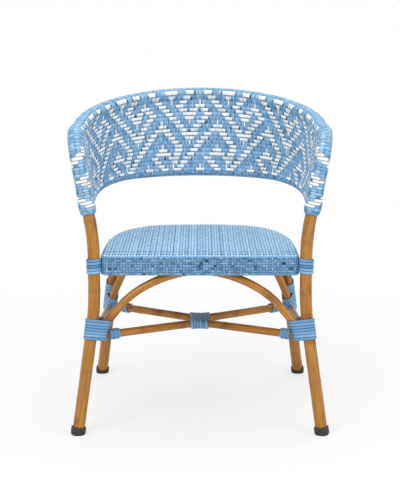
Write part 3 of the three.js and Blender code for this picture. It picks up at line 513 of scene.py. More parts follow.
# A height below the arm's bend and a distance past it, to tell the post from the rail.
BELOW_ARM, PAST_ARM = 640, 150
HEEL, HEEL_FLAT_SHARE = 7, 0.9
SETTLING = 25
CUFF_DISTANCES, CUFF_RISES = [0, 3, 9, 16, 32, 60], [-0.6, 1.2, 2.6, 3.0, 1.8, 0]
RAIL_LOW, RAIL_HIGH, RAIL_RISE_START, RAIL_RISE_END = 568, 595, 115, 390
RAIL_X, RAIL_FIRST_Y, RAIL_SIDE_Y, RAIL_BACK_Y = -278, 23, 170, 460

bow_dense = evenly(bow_left, 1.0)
bow_reached = distances(bow_dense)
bow_runs = unit(np.gradient(bow_dense, axis=0))
rising_part = bow_dense[:, 2] < BELOW_ARM
end_at, first_at = np.interp(
    [WEAVE_END_HEIGHT, WEAVE_FIRST_HEIGHT], bow_dense[rising_part, 2], bow_reached[rising_part]
)
rail_post_x = np.interp(RAIL_LOW, bow_dense[rising_part, 2], bow_dense[rising_part, 0])
behind_arm = bow_reached > first_at + PAST_ARM
side_at = np.interp(TOP_CURVE_Y, bow_dense[behind_arm, 1], bow_reached[behind_arm])
half_length = bow_reached[-1] - end_at
post_length = POST_PITCH * POST_COLUMNS
HALF_COLUMNS = POST_COLUMNS + int(round((half_length - post_length) / COLUMN_PITCH - 0.5))
COLUMNS = 2 * HALF_COLUMNS + 1


def rail_height(y):
    """The bottom rail's height, which rises toward the back by a smooth step."""
    rise = np.clip((y - RAIL_RISE_START) / (RAIL_RISE_END - RAIL_RISE_START), 0, 1)
    return RAIL_LOW + (RAIL_HIGH - RAIL_LOW) * rise**2 * (3 - 2 * rise)


def rail_side(y):
    """The bottom rail's side, straight from the post to where the back bends."""
    return np.stack([rail_post_x + (RAIL_X - rail_post_x) * y / RAIL_SIDE_Y, y, rail_height(y)], axis=-1)


def rail_back(angle):
    """The bottom rail's back by its angle, as an ellipse seen from above."""
    y = RAIL_SIDE_Y + (RAIL_BACK_Y - RAIL_SIDE_Y) * np.sin(angle)
    return np.stack([RAIL_X * np.cos(angle), y, rail_height(y)], axis=-1)


def rail_below(reached):
    """The bottom rail's place below each place on the left half of the bow: from
    the heel on the post, then by share along the side, then by the same angle."""
    heel = read_off(end_at, bow_reached, bow_dense) + HEEL * BACK
    share = np.clip((reached - end_at) / (first_at - end_at), 0, 1)[:, None]
    near_post = heel + (rail_side(RAIL_FIRST_Y) - heel) * share
    along = (reached - first_at) / (side_at - first_at)
    beside = rail_side(RAIL_FIRST_Y + (RAIL_SIDE_Y - RAIL_FIRST_Y) * np.clip(along, 0, 1))
    bow_x = np.interp(reached, bow_reached, bow_dense[:, 0])
    behind = rail_back(np.arccos(np.clip(bow_x / ARM_X, 0, 1)))
    on_post, on_side = (reached < first_at)[:, None], (reached < side_at)[:, None]
    return np.where(on_post, near_post, np.where(on_side, beside, behind))


def on_circle(centre, radius, turn, side, up):
    """Places on circles: centre + radius (cos(turn) side + sin(turn) up)."""
    turn = turn[..., None]
    return centre + radius[..., None] * (np.cos(turn) * side + np.sin(turn) * up)


def weave_skin():
    """The middle surface of the woven skin, by columns from post to post and rows
    round the section. A section is an arc round the bow, an arc round the rail,
    and the flats that join them: rows 0 to 3, 19.8 to 23, and those between. Its
    ends swell into a cuff and close in on the post."""
    column = np.arange(FINE * (HALF_COLUMNS + 0.5) + 1) / FINE
    reached = end_at + np.interp(
        column, [0, POST_COLUMNS, HALF_COLUMNS + 0.5], [0, post_length, half_length]
    )
    top, bottom = read_off(reached, bow_reached, bow_dense), rail_below(reached)
    top_run = read_off(reached, bow_reached, bow_runs)
    bottom_run = unit(np.gradient(bottom, axis=0))
    outward = unit(np.cross(top - bottom, top_run + bottom_run))
    top_out = unit(outward - top_run * (outward * top_run).sum(-1, keepdims=True))
    bottom_out = unit(outward - bottom_run * (outward * bottom_run).sum(-1, keepdims=True))
    above, below = np.cross(top_run, top_out), np.cross(bottom_out, bottom_run)
    cuff = np.interp(reached - end_at, CUFF_DISTANCES, CUFF_RISES)
    top_radius, bottom_radius = MAIN_RADIUS + WEAVE_ROOM + cuff, RAIL_RADIUS + WEAVE_ROOM + cuff
    settled_at = [end_at, first_at, first_at + SETTLING]
    heel_flat = HEEL_FLAT_SHARE * (RAIL_RADIUS + WEAVE_ROOM)
    flat = np.interp(reached, settled_at, [heel_flat, heel_flat, SPINDLE_RADIUS + WEAVE_ROOM])
    top_reach = np.pi - np.arcsin(flat / top_radius)
    heel_turn, rail_turn = np.arcsin(HEEL_FLAT_SHARE), np.arcsin(flat[-1] / bottom_radius[-1])
    bottom_reach = np.interp(reached, settled_at, [heel_turn, np.pi - heel_turn, np.pi - rail_turn])
    row = np.arange(0, FINE * ROWS + 0.5) / FINE
    round_share = np.clip(row / TOP_ROUND_ROWS, 0, 1)
    round_back_share = np.clip((ROWS - row) / BOTTOM_ROUND_ROWS, 0, 1)
    flat_rows = ROWS - BOTTOM_ROUND_ROWS - TOP_ROUND_ROWS
    down = np.clip((row - TOP_ROUND_ROWS) / flat_rows, 0, 1)[:, None]

    def half_loop(sign):
        """One side of each section, from the top line down to the bottom line."""
        turn = sign * top_reach[:, None] * round_share
        back_turn = sign * bottom_reach[:, None] * round_back_share
        over = on_circle(top[:, None], top_radius[:, None], turn, above[:, None], top_out[:, None])
        under = on_circle(
            bottom[:, None], bottom_radius[:, None], back_turn, below[:, None], bottom_out[:, None]
        )
        return over + (under - over) * down

    outer, inner = half_loop(1), half_loop(-1)
    return both_halves(np.concatenate([outer[:, :-1], inner[:, :0:-1]], axis=1))


def draft():
    """The pattern, drawn once for a repeat of 32 upright strands, in columns two
    strands wide: where the level strands float white, and where the upright ones
    do, as stems beside the wide floats."""
    level, upright = np.zeros((ROWS, REPEAT), bool), np.zeros((ROWS, REPEAT), bool)

    def floats(row, centres, cells=4):
        """A float of so many cells in each row from a first one down, by centres."""
        for number, centre in enumerate(centres, row + 1):
            first = int(np.floor(2 * centre - cells / 2 + 0.75))
            level[number, np.arange(first, first + cells) % REPEAT] = True

    # Slanting lines, and those that bend to meet them.
    floats(0, 2.5 + np.arange(10))
    floats(6, 1.5 - np.arange(4))
    floats(10, 2.5 - np.arange(10))
    floats(0, (-2.5, -3.5, -4.5, -5.5, -4.5))
    floats(4, (-1.5,))
    floats(4, (1.5, 2.5))
    floats(10, (7, 8, 9, 10, 10, 9.5))
    floats(16, (2.5, 3.5, 4.5, 5.5))
    # Wide floats by first row and centre, with the widths of each row.
    for row, centre, widths in (
        (0, 8, (7, 3)), (3, 0, (5,)), (5, -3, (7, 5)), (10, -3, (9, 5)),
        (8, 5, (5, 9)), (14, 5, (5, 9)), (16, 8.5, (6, 3)), (19, 0, (5,)),
    ):
        for below, cells in enumerate(widths):
            floats(row + below, (centre,), cells)
    for row, centre in ((2, 8), (2, 0), (7, -3), (12, -3), (7, 5), (13, 5), (18, 8), (18, 0)):
        upright[row + 1, 2 * centre % REPEAT] = True
    return level, upright


def weave_pattern():
    """For each row round the section and each column from post to post: whether
    the upright strand is on top, and where either strand is white. Plain weave
    lies between the floats, and an upright strand holds down each float's ends.
    On the posts the upright strands carry short white floats in a zigzag."""
    columns = np.arange(COLUMNS) - HALF_COLUMNS
    drawn = HALF_COLUMNS - np.abs(columns) >= DRAFT_START
    one_side = [floats[:, columns % REPEAT] & drawn for floats in draft()]
    level, upright = (np.concatenate([floats, floats[::-1]]) for floats in one_side)
    for step in ZIGZAG_COLUMNS:
        swing = int(round(ZIGZAG_CLIMB * abs((step + 2) % ZIGZAG_PERIOD - ZIGZAG_PERIOD / 2)))
        for row in ZIGZAG_ROWS:
            upright[[[row - swing - 1], [row - swing]], [step, -1 - step]] = True
    over = (np.arange(LOOP_ROWS)[:, None] + np.arange(COLUMNS)) % 2 == 0
    over |= np.roll(level, 1, axis=1) | np.roll(level, -1, axis=1)
    over |= upright
    over &= ~level
    beside = (np.roll(upright, 1, axis=0) | np.roll(upright, -1, axis=0)) & ~upright
    over &= ~beside
    return over, level, upright


skin = weave_skin()
run_u = np.gradient(skin, axis=0)
run_v = (np.roll(skin, -1, 1) - np.roll(skin, 1, 1)) / 2
skin_normal = unit(np.cross(run_u, run_v))
pitch = np.minimum(np.linalg.norm(run_u, axis=-1), np.linalg.norm(run_v, axis=-1)) * FINE
skin_fine = np.clip(pitch / FULL_PITCH, FINEST, 1.0)
over, level_white, upright_white = weave_pattern()


def skin_at(column, row):
    """Place, outward normal and local fineness of the skin at a column and a row,
    by weighing the four nearest grid places. Fineness falls from 1 where the
    strands crowd together."""
    u = np.clip(column * FINE, 0, len(skin) - 1.001)
    v = np.mod(row * FINE, LOOP_ROWS * FINE)
    i, j = np.floor(u).astype(int), np.floor(v).astype(int)
    a, b = (u - i)[..., None], (v - j)[..., None]
    next_j = (j + 1) % (LOOP_ROWS * FINE)
    corners = [(p, q, s * t) for q, t in ((j, 1 - b), (next_j, b)) for p, s in ((i, 1 - a), (i + 1, a))]
    place = sum(weight * skin[p, q] for p, q, weight in corners)
    normal = unit(sum(weight * skin_normal[p, q] for p, q, weight in corners))
    fine = sum(weight[..., 0] * skin_fine[p, q] for p, q, weight in corners)
    return place, normal, fine


def neighbours(cells, joined):
    """The cells before and after each cell of each strand. Where a strand isn't
    joined into a loop, a cell at its end stands for the missing one."""
    before, after = np.roll(cells, 1, axis=1), np.roll(cells, -1, axis=1)
    if not joined:
        before[:, 0], after[:, -1] = cells[:, 0], cells[:, -1]
    return before, after


def eased(cells, joined):
    """Heights a quarter and three quarters along each cell, from one height for
    each cell, eased from cell to cell by half a cosine wave."""
    own_share = 0.5 - 0.5 * np.cos(0.75 * np.pi)
    halves = [own_share * cells + (1 - own_share) * near for near in neighbours(cells, joined)]
    return np.stack(halves, axis=-1).reshape(len(cells), -1)


def spread(white, joined):
    """White at both places in each cell. It runs on under the strand that holds
    the float's end, so that no blue shows at the end of a float."""
    halves = [white | near for near in neighbours(white, joined)]
    return np.stack(halves, axis=-1).reshape(len(white), -1).astype(float)


def uneven(shape, swing):
    """Random shade for each cell of each strand, spread over both its places."""
    return np.repeat(0.5 + swing * random.standard_normal(shape), FINE, axis=1)


# Painted shade: the two base corners of each strand's section keep 0.15 of its tone, so its sides and the
# seams between strands darken.
PAINTED_SEAM_SHADE = np.array([0.15, 0.15, 1, 1])
PAINTED_SEAM_DARKNESS = 0.36


def strand_finish(name, dark, light, with_white=False):
    """Coloured resin strand: two tones of the colour by strand and by cell, darkened by
    painted shade in the seams, speckled, satin, and white where the strand is dyed white."""
    finish, tree, shader = new_finish(name, Coat_Weight=0.06, Coat_Roughness=0.3, Specular_IOR_Level=0.3)
    shade = stored(tree, "shade")
    seam_shade_colour = [PAINTED_SEAM_DARKNESS * tone for tone in dark]
    colour = ramp(tree, shade, (0.0, *seam_shade_colour), (0.22, *dark), (0.9, *light))
    speckle = noise(tree, own_place(tree), 900.0, 2.0)
    if with_white:
        pale = ramp(tree, shade, (0.1, 206, 206, 204), (0.5, 253, 252, 250))
        colour = blended(tree, stored(tree, "white"), colour, pale)
    colour = tinted(tree, colour, speckle, (0.3, 226, 226, 226), (0.7, *WHITE))
    marked(tree, shader, colour, speckle, 0.2, 0.3, rough=(0.38, 0.55))
    return finish


def strands(surface, upright, joined, numbers, heights, shade, half_share, lift):
    """Places, faces and shade of strands on a surface. A strand's section is flat
    with chamfered sides. It keeps to its own column or row, is its half share wide
    either side, and rises and sinks by its heights, thinner where the skin is fine."""
    wide, top = half_share, half_share * TOP_SHARE
    section = np.array([[-wide, -0.5], [wide, -0.5], [top, 0.5], [-top, 0.5]])
    samples = (np.arange(heights.shape[1]) + 0.5) / FINE
    own = numbers[:, None, None] + 0.5 + section[:, 0] + 0 * samples[:, None]
    along = samples[:, None] + 0 * own
    place, normal, fine = surface(own, along) if upright else surface(along, own)
    rise = lift * heights[numbers][..., None] + STRAND_THICK * section[:, 1]
    faces = tube_faces(len(numbers), len(samples), len(section), joined)
    # The tone carries painted shade on the section's base corners.
    return place + normal * (rise * fine)[..., None], faces, shade[numbers][..., None] * PAINTED_SEAM_SHADE


back_strand = strand_finish("back_strand", (96, 150, 194), (176, 212, 238), with_white=True)


def add_back_strands(direction, upright, heights, white, shade, half_share):
    """The back's upright strands, each a loop, or its level ones, in three pieces."""
    for number, group in enumerate(np.array_split(np.arange(len(heights)), 3), 1):
        name = f"back_{direction}_strands_{number}"
        places, faces, tone = strands(
            skin_at, upright, upright, group, heights, shade, half_share, STRAND_LIFT
        )
        pale = white[group][..., None] + 0 * tone
        add_piece(name, places, faces, back_strand, "back_weave", ["woven_back"], shade=tone, white=pale)


# Painted shade stands for a small hole: one half of each upright cell that holds down a float's end is
# darker.
PAINTED_HOLE_SHADE = 0.5
CELL_SWING, STRAND_SWING = 0.14, 0.08
UPRIGHT_LIGHTER, LEVEL_DARKER = 0.1, 0.04
float_end = (np.roll(level_white, 1, axis=1) | np.roll(level_white, -1, axis=1)) & ~level_white
painted_hole_shade = np.kron(float_end.T, [[PAINTED_HOLE_SHADE, 0.0]])
upright_shade = uneven((COLUMNS, LOOP_ROWS), CELL_SWING) + UPRIGHT_LIGHTER - painted_hole_shade
upright_shade = upright_shade + STRAND_SWING * random.standard_normal((COLUMNS, 1))
level_shade = uneven((LOOP_ROWS, COLUMNS), CELL_SWING) - LEVEL_DARKER
level_shade = level_shade + STRAND_SWING * random.standard_normal((LOOP_ROWS, 1))
upright_heights = eased(np.where(over, 1.0, -1.0).T, True)
level_heights = eased(np.where(over, -1.0, 1.0), False)
upright_white, level_white = spread(upright_white.T, True), spread(level_white, False)
add_back_strands("upright", True, upright_heights, upright_white, upright_shade, WARP_SHARE)
add_back_strands("level", False, level_heights, level_white, level_shade, WEFT_SHARE)

# Behind the strands lies a dark layer of painted shade, the shadowed inside of the back, which shows in the
# small holes.
INNER_DEPTH = 1.7
LAYER_SWING = 0.1
add_piece(
    "back_painted_shade_layer",
    skin - INNER_DEPTH * skin_fine[..., None] * skin_normal,
    tube_faces(1, *skin.shape[:2]),
    strand_finish("back_painted_shade_layer", (52, 88, 120), (74, 114, 148)),
    "back_weave",
    ["woven_back"],
    shade=0.5 + LAYER_SWING * random.standard_normal(skin.shape[:2]),
)

END_CORD_RADIUS = 2.2
CORD_SWING = 0.06


def closed_line(places):
    """A loop of places with the first one repeated at the end."""
    return np.concatenate([places, places[:1]])


def add_cord(name, loop, radius, finish, slot, step=2.5, sides=10, shade=0.5):
    """A round cord along a closed loop."""
    line = evenly(closed_line(loop), step)[:-1]
    places = carried(line, radius * circle(sides)[None], first_side=RIGHT + BACK)
    tone = np.repeat(shade + CORD_SWING * random.standard_normal(len(line)), sides)
    add_piece(name, places, tube_faces(1, len(line), sides, True), finish, slot, shade=tone)


blue_strand = strand_finish("blue_strand", (84, 136, 176), (146, 188, 218))
for side, flip in BOTH_SIDES:
    rim, name = skin[0] * flip, "back_end_cord" + side
    add_cord(name, rim, END_CORD_RADIUS, blue_strand, "back_weave", step=3.0, sides=8)

# Seat: close ribs of round resin strand run from front to back over a woven
# ground, drawn as a flat sheet whose dark colour is painted shade, and two rows of
# stitches draw them down near the front. They roll over the edge, where a thin cord
# closes the seam under them.
SEAT_TOP = 450
WEAVE_HALF = 243.5
SIDE_PLACES, CORNER_PLACES = 260, 12
RIB_PITCH, RIB_PLACES, RIB_SIDES = 7.4, 150, 8
RIB_RADIUS, RIB_RISE, RIB_DEPTH = 3.55, 2.0, 2.3
RIB_INSET, RIB_MARGIN, RIB_SHIFT = 3.0, 8, 0.5
ROLL_LENGTH, ROLL_DROP = 6, 3.0
CROSS_PITCH, CROSS_RISE = 8.2, 0.3
# The stitches' rows, each with its distance from the front and its depth.
STITCH_ROWS = ((15, 1), (48, 0.7))
STITCH_WIDTH, STITCH_DROP, STITCH_NARROWING, SMALL_STITCH = 2.6, 0.8, 0.5, 0.25
# Where the painted highlight on the front roll lies, and how wide it is.
GLEAM_AT, GLEAM_WIDTH = 6, 7
# Rib tone: a base and random swings, with painted shade and light from the wave, the front roll's gleam,
# the stitches and each rib's roundness.
RIB_SHADE, RIB_SWING, PLACE_SWING = 0.6, 0.06, 0.12
WAVE_PAINTED_SHADE, GLEAM_PAINTED_LIGHT, STITCH_PAINTED_SHADE, ROUND_PAINTED_SHADE = 0.1, 0.3, 1.2, 0.04
GROUND_INSET, GROUND_HEIGHTS = 4.0, (445.2, 447.2)
SEAM_CORD_INSET, SEAM_CORD_DEPTH, SEAM_CORD_RADIUS = 3.2, 4.4, 2.3


def seat_outline(inset):
    """The whole edge of the seat's weave drawn in by an inset: side and back, then
    the two round front corners with the straight front between them. The weave
    bulges a little wider than its frame, up to the posts."""
    place, outward = seat_edge(np.linspace(0, np.pi, SIDE_PLACES))
    radius = SEAT_CORNER - inset
    turn = np.linspace(0, np.pi / 2, CORNER_PLACES)[1:]
    corner_x = SEAT_HALF - SEAT_CORNER + radius * np.cos(turn)
    corner = np.stack([corner_x, SEAT_CURVE_Y - radius * np.sin(turn), 0 * turn], axis=-1)
    outline = np.concatenate([place - inset * outward, corner, (corner * MIRROR)[::-1]])
    return outline * [WEAVE_HALF / SEAT_HALF, 1, 1]


seat_strand = strand_finish("seat_strand", (106, 162, 206), (182, 219, 244))
# A dark finish of painted shade for the sheets behind the seat's ribs and the apron's strands.
painted_shade_finish = strand_finish("seat_ground_painted_shade", (44, 78, 108), (64, 104, 140))

left_edge = seat_outline(RIB_INSET)[: SIDE_PLACES // 2]
rib_count = int((2 * WEAVE_HALF - RIB_MARGIN) / RIB_PITCH)
rib_number = np.arange(rib_count)[:, None]
rib_x = (rib_number - (rib_count - 1) / 2) * RIB_PITCH
rib_x = rib_x + random.uniform(-RIB_SHIFT, RIB_SHIFT, rib_count)[:, None]
back_y = np.interp(-np.abs(rib_x), left_edge[:, 0], left_edge[:, 1])
corner_in = np.clip(np.abs(rib_x) - (WEAVE_HALF - SEAT_CORNER), 0, None)
front_y = SEAT_CURVE_Y - np.sqrt(np.clip((SEAT_CORNER - RIB_INSET) ** 2 - corner_in**2, 0, None))
rib_y = front_y + (back_y - front_y) * np.linspace(0, 1, RIB_PLACES)
from_front = rib_y - front_y
from_edge = np.clip(np.minimum(from_front, back_y - rib_y) / ROLL_LENGTH, 0, 1)
edge_drop = ROLL_DROP * (1 - np.sqrt(np.clip(1 - (1 - from_edge) ** 2, 0, 1)))
wave = np.cos(np.pi * (rib_y / CROSS_PITCH + rib_number))
stitched = sum(depth * np.exp(-(((from_front - row) / STITCH_WIDTH) ** 2)) for row, depth in STITCH_ROWS)
stitched = stitched * np.where(rib_number % 2, 1, SMALL_STITCH)
rib_z = SEAT_TOP - RIB_DEPTH + CROSS_RISE * wave - edge_drop - STITCH_DROP * stitched
rib_turn = 2 * np.pi * (np.arange(RIB_SIDES) + 0.5) / RIB_SIDES
narrowing = 1 - STITCH_NARROWING * stitched[..., None]
rib_places = np.stack([
    rib_x[..., None] + RIB_RADIUS * np.cos(rib_turn) * narrowing,
    np.broadcast_to(rib_y[..., None], (*rib_y.shape, RIB_SIDES)),
    rib_z[..., None] + RIB_RISE * np.sin(rib_turn),
], axis=-1)
# Painted highlight: the ribs are lighter on the front roll, where it turns to the light.
painted_front_gleam = np.exp(-(((from_front - GLEAM_AT) / GLEAM_WIDTH) ** 2))
# Painted shade: a rib is lighter where it rises over the cross strands and darker where it sinks.
rib_tone = RIB_SHADE + RIB_SWING * random.standard_normal((rib_count, 1)) + WAVE_PAINTED_SHADE * wave
# Painted shade: the ribs darken where the stitches draw them down into dimples.
rib_tone = rib_tone + GLEAM_PAINTED_LIGHT * painted_front_gleam - STITCH_PAINTED_SHADE * stitched
rib_tone = rib_tone + PLACE_SWING * random.standard_normal(rib_y.shape)
# Painted light: each rib's top is painted lighter, and its sides and underside darker.
add_piece(
    "seat_ribs",
    rib_places,
    tube_faces(rib_count, RIB_PLACES, RIB_SIDES),
    seat_strand,
    "seat_weave",
    ["seat_weave"],
    shade=rib_tone[..., None] + ROUND_PAINTED_SHADE * (np.sin(rib_turn) - 0.6),
)

# The ground sheet under the ribs shows its painted shade between them.
ground = np.stack([seat_outline(GROUND_INSET) + height * UP for height in GROUND_HEIGHTS])
add_piece(
    "seat_ground_painted_shade",
    ground,
    tube_faces(1, len(GROUND_HEIGHTS), ground.shape[1]),
    painted_shade_finish,
    "seat_weave",
    ["seat_weave"],
    shade=0.5 + LAYER_SWING * random.standard_normal(ground.shape[:2]),
)
seam_line = seat_outline(SEAM_CORD_INSET) + (SEAT_TOP - SEAM_CORD_DEPTH) * UP
add_cord("seat_edge_cord", seam_line, SEAM_CORD_RADIUS, seat_strand, "seat_weave", shade=0.3)

# Apron: a band of the same strand, woven in an uneven basket weave round the
# seat frame and finished with a cord along its lower edge.
APRON_TOP, APRON_BOTTOM = 446.6, 400.2
APRON_INSET, APRON_OUT, APRON_LIFT = 2.0, 0.3, 0.8
APRON_ROWS, APRON_PITCH = 7, 7.0
APRON_WARP_SHARE, APRON_WEFT_SHARE = 0.41, 0.42
APRON_SWING, APRON_LEVEL_DARKER, APRON_MISSED = 0.18, 0.05, 0.1
APRON_CORD_INSET, APRON_CORD_HEIGHT, APRON_CORD_RADIUS = 2.6, 401.8, 2.1
# The corners of the section of the lining, a dark sheet of painted shade behind the strands, each an inset
# and a height.
SHADE_LINING_CORNERS = ((4.2, 401.5), (3.3, 401.5), (3.3, 444.3), (4.2, 444.3))
apron_finish = strand_finish("apron_strand", (78, 128, 168), (148, 186, 214))

apron_loop = evenly(closed_line(seat_outline(APRON_INSET)), 1.0)[:-1]
apron_outward = unit(np.cross(UP, np.roll(apron_loop, -3, 0) - np.roll(apron_loop, 3, 0)))
APRON_COLUMNS = int(round(len(apron_loop) / APRON_PITCH / 2)) * 2


def apron_at(column, row):
    """Place, outward normal and fineness, always 1, on the apron: round the seat
    by column, and up from the lower edge by row."""
    reached = np.mod(column / APRON_COLUMNS, 1) * len(apron_loop)
    numbers = np.arange(len(apron_loop) + 1)
    place = read_off(reached, numbers, closed_line(apron_loop))
    normal = unit(read_off(reached, numbers, closed_line(apron_outward)))
    height = APRON_BOTTOM + (APRON_TOP - APRON_BOTTOM) * row / APRON_ROWS
    return place + APRON_OUT * normal + height[..., None] * UP, normal, 1.0


apron_over = (np.arange(APRON_ROWS)[:, None] + np.arange(APRON_COLUMNS)) % 2 == 0
apron_over &= random.random(apron_over.shape) > APRON_MISSED
apron_up = np.where(apron_over, 1.0, -1.0)
for direction, upright, cells, darker, half_share in (
    ("upright", True, apron_up.T, 0, APRON_WARP_SHARE),
    ("level", False, -apron_up, APRON_LEVEL_DARKER, APRON_WEFT_SHARE),
):
    shade, heights = uneven(cells.shape, APRON_SWING) - darker, eased(cells, not upright)
    numbers = np.arange(len(cells))
    places, faces, tone = strands(
        apron_at, upright, not upright, numbers, heights, shade, half_share, APRON_LIFT
    )
    name = f"apron_{direction}_strands"
    add_piece(name, places, faces, apron_finish, "seat_weave", ["apron_band"], shade=tone)

apron_cord = seat_outline(APRON_CORD_INSET) + APRON_CORD_HEIGHT * UP
add_cord("apron_edge_cord", apron_cord, APRON_CORD_RADIUS, apron_finish, "seat_weave", shade=0.55)
# Behind the apron's strands a dark lining of painted shade shows in their gaps.
shade_lining = np.stack([seat_outline(inset) + height * UP for inset, height in SHADE_LINING_CORNERS])
add_piece(
    "apron_shade_lining",
    shade_lining,
    tube_faces(1, len(SHADE_LINING_CORNERS), shade_lining.shape[1], True),
    painted_shade_finish,
    "seat_weave",
    ["apron_band"],
    shade=0.5 + LAYER_SWING * random.standard_normal(shade_lining.shape[:2]),
)

# Bindings: one flat strand is wound tightly round each joint, turn beside turn,
# over a leg and the arch beside it, or as a sleeve over the end of a stretcher.
STRAND_WIDTH = 7.1
BINDING_THICK, BINDING_PITCH, BINDING_ROOM = 3.0, 7.4, 0.9
BIG_STEPS, SMALL_STEPS, EVEN_STEPS, SLEEVE_STEPS = 22, 14, 16, 18
THIN_CORNERS, THINNEST, NARROWEST = 3, 0.3, 0.4
WAVER_STEP, WAVER_SWING, UNDERSIDE_PAINTED_SHADE = 9, 0.18, 0.1
FRONT_START, REAR_START, SEAT_START = 238.5, 216.5, 407.8
REAR_TOP_START, MIDDLE_TURNS = 10, 6
BOUND_POST_TOP, BOUND_ARCH_PLACES, SLEEVE_REACH = 446, 40, 200
# The strand's section, by shares of its thickness outward and of its width.
BINDING_SECTION = np.array([
    [0, -0.5], [0, 0.5], [0.45, 0.5], [0.82, 0.37], [1, 0.14], [1, -0.14], [0.82, -0.37], [0.45, -0.5]
])
binding_finish = strand_finish("binding_strand", (84, 138, 184), (152, 196, 228))


def pole_circle(bound, pole, distance):
    """Centre and radius of the circle that a pole fills at distances along the
    bundle's line. The circle widens as the pole slants, and the pole runs on
    straight where it ends short."""
    line, radius = pole
    reached = (line - bound["start"]) @ bound["along"]
    order = np.argsort(reached)
    runs = unit(np.gradient(line, axis=0))
    place = read_off(distance, reached[order], line[order])
    slant = np.abs(read_off(distance, reached[order], runs[order]) @ bound["along"])
    short = distance - (place - bound["start"]) @ bound["along"]
    return place + short[..., None] * bound["along"], (radius + BINDING_ROOM) / slant


def around(bound, corner, distance, outset):
    """Places round a bundle. A corner number picks the angle on the arc round the
    first pole or the second: with two poles their arcs meet where the strand
    runs straight from one to the other, at acos((r1 - r2) / distance apart)."""
    first, radius = pole_circle(bound, bound["poles"][0], distance)
    big = bound["steps"][0]
    if len(bound["poles"]) == 1:
        side = square_to(bound["facing"], bound["along"])
        turn = 2 * np.pi * (corner + 0.5) / big
        return on_circle(first, radius + outset, turn, side, np.cross(bound["along"], side))
    small = bound["steps"][1]
    second, second_radius = pole_circle(bound, bound["poles"][1], distance)
    gap = np.linalg.norm(second - first, axis=-1)
    side = (second - first) / gap[..., None]
    lean = np.arccos((radius - second_radius) / gap)
    on_first = corner < big
    first_turn = lean + (2 * np.pi - 2 * lean) * (corner + 0.5) / big
    second_turn = -lean + 2 * lean * (corner - big + 0.5) / small
    turn = np.where(on_first, first_turn, second_turn)
    centre = np.where(on_first[..., None], first, second)
    radius = np.where(on_first, radius, second_radius) + outset
    return on_circle(centre, radius, turn, side, np.cross(bound["along"], side))


def add_binding(name, bound, start, turns, node_name, early=0.1, late=0.1, copies=BOTH_SIDES):
    """A strand wound round a bundle: one pitch further with each turn, each place
    of its section worked out at its own distance. It starts a part of a turn
    early and ends late, and thins out over the last three corners."""
    per_turn = sum(bound["steps"])
    count = np.arange(-int(early * per_turn), per_turn * turns + int(late * per_turn))
    from_end = np.minimum(count - count[0] + 1, count[-1] + 1 - count)
    ends = np.clip(from_end / THIN_CORNERS, THINNEST, 1)[:, None]
    outset = BINDING_THICK * BINDING_SECTION[:, 0] * ends
    across = STRAND_WIDTH * BINDING_SECTION[:, 1] * (NARROWEST + (1 - NARROWEST) * ends)
    distance = start + BINDING_PITCH * count[:, None] / per_turn + across
    corner = np.broadcast_to((count % per_turn)[:, None], distance.shape)
    left = around(bound, corner, distance, outset)
    knots = count[::WAVER_STEP]
    waver = np.interp(count, knots, random.standard_normal(len(knots)))
    # Painted shade: each turn darkens from its outer face down to the face on the pole, so the grooves
    # between turns read dark.
    painted_groove_shade = UNDERSIDE_PAINTED_SHADE + (1 - UNDERSIDE_PAINTED_SHADE) * BINDING_SECTION[:, 0]
    tone = (0.5 + WAVER_SWING * waver[:, None]) * painted_groove_shade
    faces = tube_faces(1, len(count), len(BINDING_SECTION))
    for side, flip in copies:
        add_piece(name + side, left * flip, faces, binding_finish, "cord", [node_name + side], shade=tone)


def bundle(start, along, poles, steps, facing=BACK):
    """Poles that are bound together along a straight line."""
    poles = [(evenly(line, 1.0), radius) for line, radius in poles]
    return {"start": start, "along": along, "poles": poles, "steps": steps, "facing": facing}


front_post, rear_post = (bow_dense[bow_dense[:, 2] < BOUND_POST_TOP], MAIN_RADIUS), (rear_leg, MAIN_RADIUS)
front_poles = [front_post, (front_arch[:BOUND_ARCH_PLACES], THIN_RADIUS)]
rear_poles = [rear_post, (rear_arch[:BOUND_ARCH_PLACES], THIN_RADIUS)]
vee_poles = [(vee[len(vee) // 3 : -(len(vee) // 3)], THIN_RADIUS) for vee in (front_vee, rear_vee)]
front_joint = bundle(FRONT_FOOT, front_run, front_poles, (BIG_STEPS, SMALL_STEPS))
rear_joint = bundle(REAR_FOOT, rear_run, rear_poles, (BIG_STEPS, SMALL_STEPS))
rear_alone = bundle(REAR_FOOT, rear_run, [rear_post], (BIG_STEPS,))
front_upright = bundle(POST_X * RIGHT, UP, [front_post], (BIG_STEPS,), facing=-BACK)
rear_upright = bundle(rear_bend * [1, 1, 0], UP, [rear_post], (BIG_STEPS,), facing=leg_outward)
vee_joint = bundle(np.zeros(3), RIGHT, vee_poles, (EVEN_STEPS, EVEN_STEPS))
front_at, rear_at = FRONT_START / front_run[2], REAR_START / rear_run[2]
rear_top_at = rear_at + REAR_TOP_START * BINDING_PITCH
middle_at = -MIDDLE_TURNS / 2 * BINDING_PITCH
add_binding("seat_front_binding", front_upright, SEAT_START, 4, "seat_binding_front", 0.35, 0.35)
add_binding("seat_rear_binding", rear_upright, SEAT_START, 2, "seat_binding_rear")
add_binding("front_joint_binding", front_joint, front_at, 6, "front_leg_binding", late=0.75)
add_binding("rear_joint_binding", rear_joint, rear_at, 9, "rear_leg_binding")
add_binding("rear_top_binding", rear_alone, rear_top_at, 3, "rear_leg_top_binding", 1.2, 0.4)
add_binding("middle_binding", vee_joint, middle_at, MIDDLE_TURNS, "vee_middle_binding", copies=[("", 1)])


